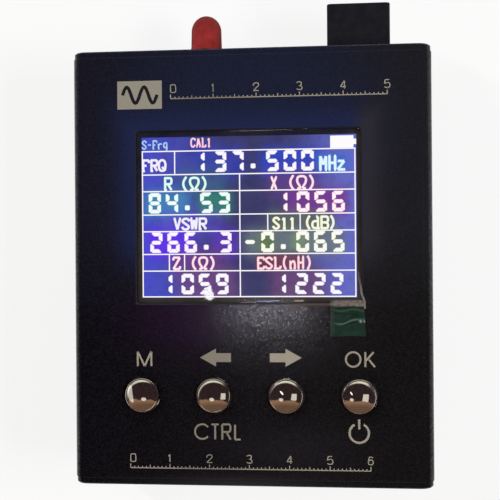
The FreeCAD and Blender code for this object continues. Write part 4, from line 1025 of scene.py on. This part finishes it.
class ANALYZER_OT_readings(bpy.types.Operator):
    """Set the seven-bar digits of the readings"""
    bl_idname = "analyzer.readings"
    bl_label = "Display readings"

    def execute(self, context):
        bars = {"edge": segment_bar("edge_bar", False), "middle": segment_bar("middle_bar", True)}
        groups = {}
        for text, light, column, row in READINGS:
            placed = groups.setdefault(light, [])
            for index, character in enumerate(text):
                at = column + index * DIGIT_PITCH
                if character == ".":
                    placed.append(point_dot(at, row))
                    continue
                for kind, place in digit_places(character, at, row):
                    placed.append(copied(bars[kind], place))
        for light, placed in groups.items():
            readings = gather("readings_" + light, placed)
            finish = glowing_ink_finish(new_finish("lit_readings_" + light), LIGHTS[light], DIGIT_WHITENING)
            give(readings, finish)
            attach(readings, "case")
        for bar in bars.values():
            bpy.data.objects.remove(bar)
        return {"FINISHED"}


# ---- Print on the face ----
# The band left of the middle where the print is darker, in millimetres: from plain to darker on each side.
DARK_BAND_LEFT = (-20.0, -13.0)
DARK_BAND_RIGHT = (2.0, -6.0)


def print_finish(finish, colour):
    """Screen print: dense ink with pinholes, cloudy, and darker in a band left of the middle."""
    x = finish.axes()[0]
    dark = toned(colour, 0.55)
    speck = finish.noise(0.14 * MM, 3.0, 0.7)
    # Cloudy, and darker in a band left of the middle.
    cloud_and_dark_band = (finish.noise(1.5 * MM) * 0.25).most(x.above(*DARK_BAND_RIGHT) * x.above(*DARK_BAND_LEFT) * 0.8)
    tone = finish.coated(colour, (speck.above(0.42, 0.75) * 0.6, dark), (cloud_and_dark_band, dark))
    return finish.shader(Base_Color=tone, Roughness=0.5 + speck * 0.2,
                         Normal=finish.bump(speck, 0.006 * MM, 0.5))


# The arrows, in millimetres: their middle line and half widths, and each one's tip, tail and head's base.
ARROW_MIDDLE = -20.43
SHAFT_HALF = 1.0
HEAD_HALF = 2.02
ARROWS = {"left_arrow": (-11.46, -4.4, -7.8), "right_arrow": (11.59, 4.4, 7.93)}


def arrow(name, tip, tail, head_base):
    """Block arrow: a shaft drawn out to a head, as one flat face drawn up."""
    low, high = sorted((tail, head_base))
    middle = ARROW_MIDDLE * MM
    half = SHAFT_HALF * MM
    piece = sheet(name, low, middle - half, high, middle + half, FACE)
    into_edit(piece)
    pick("EDGE", lambda point: abs(point.x - head_base) < TINY)
    draw_out()
    widen((head_base, middle, FACE), y=HEAD_HALF / SHAFT_HALF)
    draw_out(x=tip - head_base)
    bpy.ops.mesh.merge(type="CENTER")
    bpy.ops.mesh.select_all(action="SELECT")
    draw_out(z=settings().marks.height)
    out_of_edit()
    return piece


def arc_points(centre_x, centre_y, radius, start, end, steps):
    """Points along an arc, with angles in degrees from +X."""
    angles = [math.radians(angle) for angle in spread(start, end, steps)]
    return [(centre_x + radius * math.cos(angle), centre_y + radius * math.sin(angle)) for angle in angles]


# Printed letters: letter, left side, base, width and height, in millimetres.
KEY_WORDS = (
    ("M", -25.8, -22.42, 3.15, 3.3), ("K", 25.72, -22.45, 2.1, 3.35),
    ("T", -8.95, -38.93, 1.65, 3.35), ("R", -6.5, -38.93, 1.87, 3.4), ("L", -3.6, -38.93, 1.45, 3.35),
)
# Round letters: centre and radius in millimetres, and the angles where they start and end.
ROUND_LETTERS = ((23.04, -20.77, 1.63, 90, 450), (-11.06, -37.22, 1.66, 38, 322))
POWER_X = 24.26 * MM
POWER_Y = -37.2 * MM
POWER_RADIUS = 2.15 * MM
POWER_STEM = (0.9 * MM, 3.1 * MM)
POWER_ARC = (118, 422)
POWER_STROKE = 1.2
ARC_STEPS = 24
LETTER_STEPS = 28


class ANALYZER_OT_marks(bpy.types.Operator):
    """Print the key marks on the face"""
    bl_idname = "analyzer.marks"
    bl_label = "Key marks"

    def execute(self, context):
        look = settings().marks
        strokes = []
        for letter, *place in KEY_WORDS:
            strokes += letter_strokes(KEY_LETTERS, letter, *(value * MM for value in place))
        for centre_x, centre_y, radius, start, end in ROUND_LETTERS:
            strokes.append(arc_points(centre_x * MM, centre_y * MM, radius * MM, start, end, LETTER_STEPS))
        ring = arc_points(POWER_X, POWER_Y, POWER_RADIUS, *POWER_ARC, ARC_STEPS)
        stem = [(POWER_X, POWER_Y + up) for up in POWER_STEM]
        pieces = [inked("key_letters", strokes, look.stroke, look.height, FACE),
                  inked("power_sign", [ring, stem], look.stroke * POWER_STROKE, look.height, FACE)]
        for name, places in ARROWS.items():
            pieces.append(arrow(name, *(x * MM for x in places)))
        marks = gather("key_marks", pieces)
        give(marks, print_finish(new_finish("key_print"), look.colour[:]))
        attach(marks, "case")
        return {"FINISHED"}


# The plate's corners and its wave, in millimetres.
PLATE = (-30.1, 36.1, -19.8, 42.5)
WAVE_LEFT = -28.9
WAVE_LENGTH = 8.0
WAVE_MIDDLE = 39.3
WAVE_HEIGHT = 1.9
WAVE_STROKE = 0.75
WAVE_STEPS = 24
# The scales, in millimetres: left end, right end and base, and how many numbers each one has.
SCALES = ((-17.8, 31.0, 38.3, 6), (-27.6, 26.8, -45.6, 7))
TICKS = 10
TICK_HEIGHTS = (0.95, 0.7, 0.45)
NUMBER_RISE = 1.4
NUMBER_WIDTH = 1.2
NUMBER_HEIGHT = 1.75


def scale_strokes(left, right, base, numbers):
    """A numbered scale's base line, ticks and numbers, as strokes in metres."""
    strokes = [[(left, base), (right, base)]]
    for tick, x in enumerate(spread(left, right, TICKS * (numbers - 1))):
        rank = 0 if tick % TICKS == 0 else 1 if tick % (TICKS / 2) == 0 else 2
        strokes.append([(x, base), (x, base + TICK_HEIGHTS[rank])])
        if rank == 0:
            start = x - (NUMBER_WIDTH / 2 if tick else 0)
            strokes += letter_strokes(KEY_LETTERS, str(tick // TICKS), start, base + NUMBER_RISE,
                                      NUMBER_WIDTH, NUMBER_HEIGHT)
    return [[(x * MM, y * MM) for x, y in stroke] for stroke in strokes]


class ANALYZER_OT_scales(bpy.types.Operator):
    """Print a plain wave plate and two plain numbered scales on the face"""
    bl_idname = "analyzer.scales"
    bl_label = "Plate and scales"

    def execute(self, context):
        look = settings().marks
        plate = raised("wave_plate", *(value * MM for value in PLATE), FACE, look.height)
        give(plate, print_finish(new_finish("plate_print"), rgb(163, 160, 146)))
        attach(plate, "case")
        wave = [((WAVE_LEFT + WAVE_LENGTH * turn / 2) * MM,
                 (WAVE_MIDDLE + WAVE_HEIGHT * math.sin(math.tau * turn)) * MM)
                for turn in spread(0, 2, WAVE_STEPS)]
        curve = inked("plate_wave", [wave], WAVE_STROKE * MM, look.height, FACE + look.height)
        give(curve, moulded_finish(new_finish("wave_ink"), rgb(30, 30, 40), 0.5))
        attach(curve, "case")
        strokes = [stroke for scale in SCALES for stroke in scale_strokes(*scale)]
        scales = inked("plain_scales", strokes, look.fine, look.height, FACE)
        give(scales, print_finish(new_finish("scale_print"), look.colour[:]))
        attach(scales, "case")
        return {"FINISHED"}


# ---- Film and pull tab ----
LIFT_LEFT = 18.0 * MM
LIFT_START = -2.0 * MM
LIFT_END = -15.6 * MM
LIFT_STEPS = 36
# A pale rod along the lifted strip's right side: partly its curled edge, partly a painted highlight. Start,
# end, steps and radius.
CURL_HIGHLIGHT_START = -1.2 * MM
CURL_HIGHLIGHT_END = -9.4 * MM
CURL_HIGHLIGHT_STEPS = 14
CURL_HIGHLIGHT_RADIUS = 0.27 * MM
SHEET_END = -8.7 * MM
SHEET_MARGIN = 0.1 * MM
FILM_REST = GLASS_HIGH.z + 0.005 * MM
FILM_THICKNESS = 0.1 * MM
FILM_CREST = FACE + 0.33 * MM
FILM_DROP = 0.31 * MM
FILM_CLIMB = (-LIFT_START, 7.4 * MM)
FILM_FALL = (8.5 * MM, 10.3 * MM)
FILM_RIGHT = 24.5 * MM
# The lifted strip's spreads, in millimetres: how far, and from where to where below the middle.
FILM_SPREADS = ((0.45, 2.0, 5.5), (0.75, 5.6, 8.2), (0.1, 8.6, 12.0))


def smoothly(value, start, end):
    """0 up to start, 1 from end, and smooth between them."""
    share = min(1.0, max(0.0, (value - start) / (end - start)))
    return share * share * (3 - 2 * share)


def film_level(y):
    """Height of the lifted strip's underside: out of the window, over its edge and down on the face."""
    climb = smoothly(-y, *FILM_CLIMB)
    return FILM_REST + (FILM_CREST - FILM_REST) * climb - FILM_DROP * smoothly(-y, *FILM_FALL)


def film_edge(y):
    """The lifted strip's right side, which spreads once it is clear of the window."""
    return FILM_RIGHT + sum(width * smoothly(-y / MM, start, end) for width, start, end in FILM_SPREADS) * MM


class ANALYZER_OT_film(bpy.types.Operator):
    """Model the clear film on the display, with one corner lifted out of the window"""
    bl_idname = "analyzer.film"
    bl_label = "Film"

    def execute(self, context):
        edge = film_edge(LIFT_START)
        film = sheet("film", FILM_LOW.x + SHEET_MARGIN, SHEET_END, FILM_HIGH.x - SHEET_MARGIN,
                     FILM_HIGH.y - SHEET_MARGIN, FILM_REST)
        into_edit(film)
        for place, normal in (((LIFT_LEFT, 0, 0), (1, 0, 0)), ((edge, 0, 0), (1, 0, 0)),
                              ((0, LIFT_START, 0), (0, 1, 0))):
            bpy.ops.mesh.select_all(action="SELECT")
            bpy.ops.mesh.bisect(plane_co=place, plane_no=normal)
        pick("FACE", lambda point: point.x > LIFT_LEFT and point.y < LIFT_START)
        bpy.ops.mesh.delete(type="FACE")
        pick("EDGE", lambda point: LIFT_LEFT < point.x < edge and abs(point.y - LIFT_START) < TINY)
        grow([(Vector((LIFT_LEFT, y, film_level(y))), film_edge(y) - LIFT_LEFT)
              for y in spread(LIFT_START, LIFT_END, LIFT_STEPS)], "x")
        out_of_edit()
        film = gather("clear_film", [film])
        apply_modifier(film, "SOLIDIFY", thickness=FILM_THICKNESS, offset=1.0)
        smooth(film, 30)
        give(film, look_of("film_clear"))
        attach(film, "case")
        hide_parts("screen_film")
        # Pale rod on the lifted edge: its curl, with a painted highlight in its pale colour.
        line = [(film_edge(y), y, film_level(y) + FILM_THICKNESS)
                for y in spread(CURL_HIGHLIGHT_START, CURL_HIGHLIGHT_END, CURL_HIGHLIGHT_STEPS)]
        curl_highlight = tubes("film_curl", [line], CURL_HIGHLIGHT_RADIUS, 2, 12)
        smooth(curl_highlight, 60)
        give(curl_highlight, clear_finish(new_finish("film_curl"), rgb(184, 174, 176), 0.32, 0.2))
        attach(curl_highlight, "case")
        return {"FINISHED"}


# The pull tab's sides, top, length and thickness, and how far its sides spread downwards, in millimetres.
TAB_LEFT = 18.1
TAB_RIGHT = 25.5
TAB_TOP = -9.0
TAB_LENGTH = 6.55
TAB_THICKNESS = 0.07
TAB_SPREADS = (0.2, 0.45)
TAB_STEPS = (48, 40)


def crinkle(u, v):
    """How far the tab rises off the film, in millimetres, at a place from -1 to 1 across and up."""
    crest = v + 0.06 - 0.28 * max(-0.35, u) - 0.05 * math.sin(5 * u)
    ridge = math.exp(-(crest / 0.085) ** 2) * smoothly(u, -0.6, 0.2)
    second = math.exp(-((v - 0.55 + 0.4 * u) / 0.12) ** 2) * smoothly(-u, -0.2, 0.7)
    ripple = 0.5 + 0.5 * math.sin(2.6 * u + 1.9 * v + 0.8)
    return 0.02 + 0.3 * ridge + 0.12 * second + 0.1 * ripple


class ANALYZER_OT_tab(bpy.types.Operator):
    """Model the crinkled green pull tab on the film's lifted corner"""
    bl_idname = "analyzer.tab"
    bl_label = "Pull tab"

    def execute(self, context):
        bpy.ops.object.select_all(action="DESELECT")
        bpy.ops.mesh.primitive_grid_add(x_subdivisions=TAB_STEPS[0], y_subdivisions=TAB_STEPS[1], size=2)
        tab = bpy.context.object
        tab.name = "green_tab"
        for vertex in tab.data.vertices:
            u, v = vertex.co.x, vertex.co.y
            down = (1 - v) / 2
            left = TAB_LEFT - TAB_SPREADS[0] * down
            right = TAB_RIGHT + TAB_SPREADS[1] * down
            x = (left + (right - left) * (u + 1) / 2 + 0.06 * math.sin(7 * v)) * MM
            y = (TAB_TOP - TAB_LENGTH * down + 0.09 * math.sin(3.4 * u + 0.6)) * MM
            vertex.co = (x, y, film_level(y) + FILM_THICKNESS + crinkle(u, v) * MM)
        apply_modifier(tab, "SOLIDIFY", thickness=TAB_THICKNESS * MM, offset=1.0)
        smooth(tab, 60)
        give(tab, look_of("tab_green"))
        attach(tab, "case")
        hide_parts("pull_tab")
        return {"FINISHED"}


# ---- Dust cap ----
OPEN_RADIUS = (CAP_HIGH.x - CAP_LOW.x) / 2
DOME_RADIUS = OPEN_RADIUS - 0.13 * MM
DOME_END_RADIUS = DOME_RADIUS - 0.034 * MM
DOME_LENGTH = 3.8 * MM
DOME_START = CAP_HIGH.y - DOME_LENGTH
CAP_WALL = 0.35 * MM
CAP_LIP = 0.06 * MM


def cap_profile():
    """The dust cap's side from its open end to its dome, as (centre, radius)."""
    sides = []
    for share in spread(0, 1, 10):
        lip = CAP_LIP * (1 - smoothly(share, 0.1, 0.2))
        taper = (DOME_RADIUS - OPEN_RADIUS) * share * 0.8
        sides.append((CAP_LOW.y + (DOME_START - CAP_LOW.y) * share, OPEN_RADIUS - CAP_LIP + taper + lip))
    for angle in spread(0, math.pi / 2, 16)[1:-1]:
        sides.append((DOME_START + DOME_LENGTH * math.sin(angle), DOME_END_RADIUS * math.cos(angle)))
    return [(Vector((CAP_CENTRE.x, y, CAP_CENTRE.z)), radius) for y, radius in sides]


class ANALYZER_OT_dust_cap(bpy.types.Operator):
    """Model the soft vinyl dust cap with its domed end"""
    bl_idname = "analyzer.dust_cap"
    bl_label = "Dust cap"

    def execute(self, context):
        profile = cap_profile()
        bpy.ops.object.select_all(action="DESELECT")
        bpy.ops.mesh.primitive_circle_add(vertices=72, radius=profile[0][1], location=profile[0][0],
                                          rotation=(math.pi / 2, 0, 0))
        cap = bpy.context.object
        cap.name = "vinyl_dust_cap"
        settle()
        into_edit(cap)
        grow(profile, "xz")
        draw_out(y=CAP_HIGH.y - profile[-1][0].y)
        bpy.ops.mesh.merge(type="CENTER")
        out_of_edit()
        apply_modifier(cap, "SOLIDIFY", thickness=CAP_WALL, offset=-1.0)
        smooth(cap, 50)
        give(cap, look_of("cap_red"))
        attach(cap, "dust_cap")
        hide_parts("sma_dust_cap")
        return {"FINISHED"}


# ---- Floor, lamps, world and camera ----
FLOOR_HALF = 3.0
CAMERA_PLACE = Vector((22.893, 3.549, 252.123)) * MM
CAMERA_TURN = Vector((0.00083334, 0.10137808, -0.00731147))
LENS = 72
SENSOR = 36
# Lamps that nothing mirrors: place, size, and the setting that holds their power.
SOFT_LAMPS = {
    "key_lamp": ((0.6, -0.05, 0.58), (0.42, 0.22), "key"),
    "fill_lamp": ((-0.62, 0.44, 0.42), (0.06, 0.3), "fill"),
}
# The lamp of the sheen under the window: place, size, turn and tint.
TOP_LAMP = ((-0.0607, -0.0552, 0.8), (0.085, 0.01), 48, (1.0, 0.95, 1.08))
# Small lamps that only a few pieces catch: place, size, power, turn, tint, shape and those pieces.
SMALL_LAMPS = {
    "glare_lamp": ((-0.0199, -0.0091, 0.0974), (0.0042, 0.0028), 0.0006, 0,
                   (1.0, 1.0, 1.0), "ELLIPSE", ("display_cell", "clear_film")),
    "low_glint": ((-0.0215, -0.053, 0.088), (0.026, 0.018), 0.0009, 20,
                  (1.0, 0.93, 0.84), "ELLIPSE", DOMES),
    "side_glint": ((0.0736, -0.045, 0.119), (0.06, 0.05), 0.0068, 22,
                   (1.0, 1.0, 0.87), "RECTANGLE", DOMES[1:]),
    "slant_glint": ((-0.0097, -0.0194, 0.0698), (0.0055, 0.021), 0.0005, 72,
                    (1.0, 0.98, 0.92), "ELLIPSE", DOMES[2:]),
    "edge_glint": ((-0.0485, -0.0262, 0.0382), (0.034, 0.012), 0.0006, 0,
                   (1.0, 0.98, 0.86), "ELLIPSE", DOMES[:1]),
}


def floor_finish(finish):
    """Pale paper, nearly plain white where the camera sees it."""
    look = settings().stage
    tone = finish.mix(finish.noise(2 * MM) * 0.1, look.floor[:], rgb(238, 238, 238))
    lit = finish.node("BsdfPrincipled", {"Base Color": tone, "Roughness": 0.9, "Specular IOR Level": 0.1})
    white = finish.node("Emission", {"Color": rgb(255, 255, 255), "Strength": 1.0})
    seen = finish.node("LightPath", output="Is Camera Ray")
    for ray in ("Is Glossy Ray", "Is Transmission Ray"):
        seen = seen.most(finish.node("LightPath", output=ray))
    surface = finish.node("MixShader", {0: seen * look.whiteness, 1: lit, 2: white})
    finish.node("OutputMaterial", {"Surface": surface})
    return finish.owner


def lamp(name, place, size, power, turn=0.0, tint=(1.0, 1.0, 1.0), shape="ELLIPSE"):
    """Soft area lamp that faces the frame's origin."""
    data = bpy.data.lights.new(name, "AREA")
    data.shape = shape
    data.size, data.size_y = size
    data.energy = power
    data.color = tint
    holder = new_object(name, data)
    holder.location = place
    holder.rotation_mode = "QUATERNION"
    facing = (-Vector(place)).to_track_quat("-Z", "Y")
    holder.rotation_quaternion = facing @ Quaternion((0, 0, 1), math.radians(turn))
    holder.visible_camera = False
    return holder


def link_lamp(holder, names, state="INCLUDE"):
    """Lets a lamp light only these pieces, or with EXCLUDE all the others."""
    lit = bpy.data.collections.new(holder.name + "_lights")
    for name in names:
        lit.objects.link(frame["nodes"].get(name) or bpy.data.objects[name])
    for link in lit.collection_objects:
        link.light_linking.link_state = state
    holder.light_linking.receiver_collection = lit


def hang_lamps():
    """Hangs the key, fill and top lamps, and the small ones of the glare and of the caps' glints."""
    look = settings().stage
    for name, (place, size, power) in SOFT_LAMPS.items():
        lamp(name, place, size, getattr(look, power)).visible_glossy = False
    link_lamp(lamp("top_lamp", *TOP_LAMP[:2], look.top, *TOP_LAMP[2:]), DOMES, "EXCLUDE")
    for name, (*values, pieces) in SMALL_LAMPS.items():
        link_lamp(lamp(name, *values), pieces)


def make_world():
    """What the chrome caps mirror: a brown and dark ceiling over a pale horizon. The camera sees it pale."""
    world = bpy.data.worlds.new("studio")
    bpy.context.scene.world = world
    finish = Finish(world, "Generated")
    x, y, z = finish.axes(1.0)
    wave = finish.noise(0.5)
    mottle = finish.noise(0.12, 3.0)
    tan = rgb(112, 88, 72)
    brown = finish.coated(tan, (y.above(-0.8, -0.42), rgb(160, 124, 98)),
                          (mottle.above(0.45, 0.7) * 0.4, rgb(104, 76, 56)))
    dark = finish.mix(mottle.above(0.4, 0.65), rgb(44, 33, 35), rgb(62, 45, 47))
    ceiling = finish.mix((y + x * 0.08 + wave * 0.35).above(-0.3, -0.22), brown, dark)
    horizon = finish.coated(tan, (y.above(-0.4, -0.05), rgb(196, 192, 180)),
                            (y.above(0.5, 0.85), rgb(244, 240, 222)), (x.above(0.5, 0.8), rgb(78, 76, 84)),
                            (near(0.16, x + 0.66, y + 0.66), rgb(226, 216, 196)),
                            (z.above(0.2, 0.12) * 0.7, rgb(70, 68, 66)))
    sky = finish.coated(ceiling, ((z - x * 0.06 - y * 0.26).above(0.34, 0.28), horizon),
                        (finish.node("LightPath", output="Is Camera Ray"), rgb(246, 246, 245)))
    finish.node("OutputWorld", {"Surface": finish.node("Background", {"Color": sky, "Strength": 1.0})})


def place_camera():
    data = bpy.data.cameras.new("camera")
    data.lens = LENS
    data.sensor_width = SENSOR
    data.clip_start = 0.01
    camera = new_object("camera", data)
    camera.location = CAMERA_PLACE
    camera.rotation_mode = "QUATERNION"
    camera.rotation_quaternion = Quaternion(CAMERA_TURN.normalized(), CAMERA_TURN.length)
    bpy.context.scene.camera = camera


class ANALYZER_OT_stage(bpy.types.Operator):
    """Lay the floor, hang the lamps and set the camera"""
    bl_idname = "analyzer.stage"
    bl_label = "Stage"

    def execute(self, context):
        floor = sheet("floor", -FLOOR_HALF, -FLOOR_HALF, FLOOR_HALF, FLOOR_HALF, 0)
        floor.data.materials.append(floor_finish(new_finish("pale_floor")))
        hang_lamps()
        make_world()
        place_camera()
        context.scene.view_settings.view_transform = "Standard"
        return {"FINISHED"}


class ANALYZER_PT_panel(bpy.types.Panel):
    """Lists the analyzer's operators"""
    bl_idname = "ANALYZER_PT_panel"
    bl_label = "Antenna analyzer"
    bl_space_type = "VIEW_3D"
    bl_region_type = "UI"
    bl_category = "Analyzer"

    def draw(self, context):
        for operator in OPERATORS:
            self.layout.operator(operator.bl_idname)


OPERATORS = (
    ANALYZER_OT_solids,
    ANALYZER_OT_display,
    ANALYZER_OT_table,
    ANALYZER_OT_words,
    ANALYZER_OT_readings,
    ANALYZER_OT_marks,
    ANALYZER_OT_scales,
    ANALYZER_OT_film,
    ANALYZER_OT_tab,
    ANALYZER_OT_dust_cap,
    ANALYZER_OT_stage,
)
GROUPS = (CaseLook, PrintLook, ScreenLook, SoftLook, StageLook, AnalyzerSettings)


def register():
    for kind in GROUPS + OPERATORS + (ANALYZER_PT_panel,):
        bpy.utils.register_class(kind)
    bpy.types.Scene.analyzer = bpy.props.PointerProperty(type=AnalyzerSettings)


def unregister():
    del bpy.types.Scene.analyzer
    for kind in reversed(GROUPS + OPERATORS + (ANALYZER_PT_panel,)):
        bpy.utils.unregister_class(kind)


def main():
    register()
    bpy.ops.analyzer.solids()
    bpy.ops.analyzer.display()
    bpy.ops.analyzer.table()
    bpy.ops.analyzer.words()
    bpy.ops.analyzer.readings()
    bpy.ops.analyzer.marks()
    bpy.ops.analyzer.scales()
    bpy.ops.analyzer.film()
    bpy.ops.analyzer.tab()
    bpy.ops.analyzer.dust_cap()
    bpy.ops.analyzer.stage()


if __name__ == "__main__":
    main()
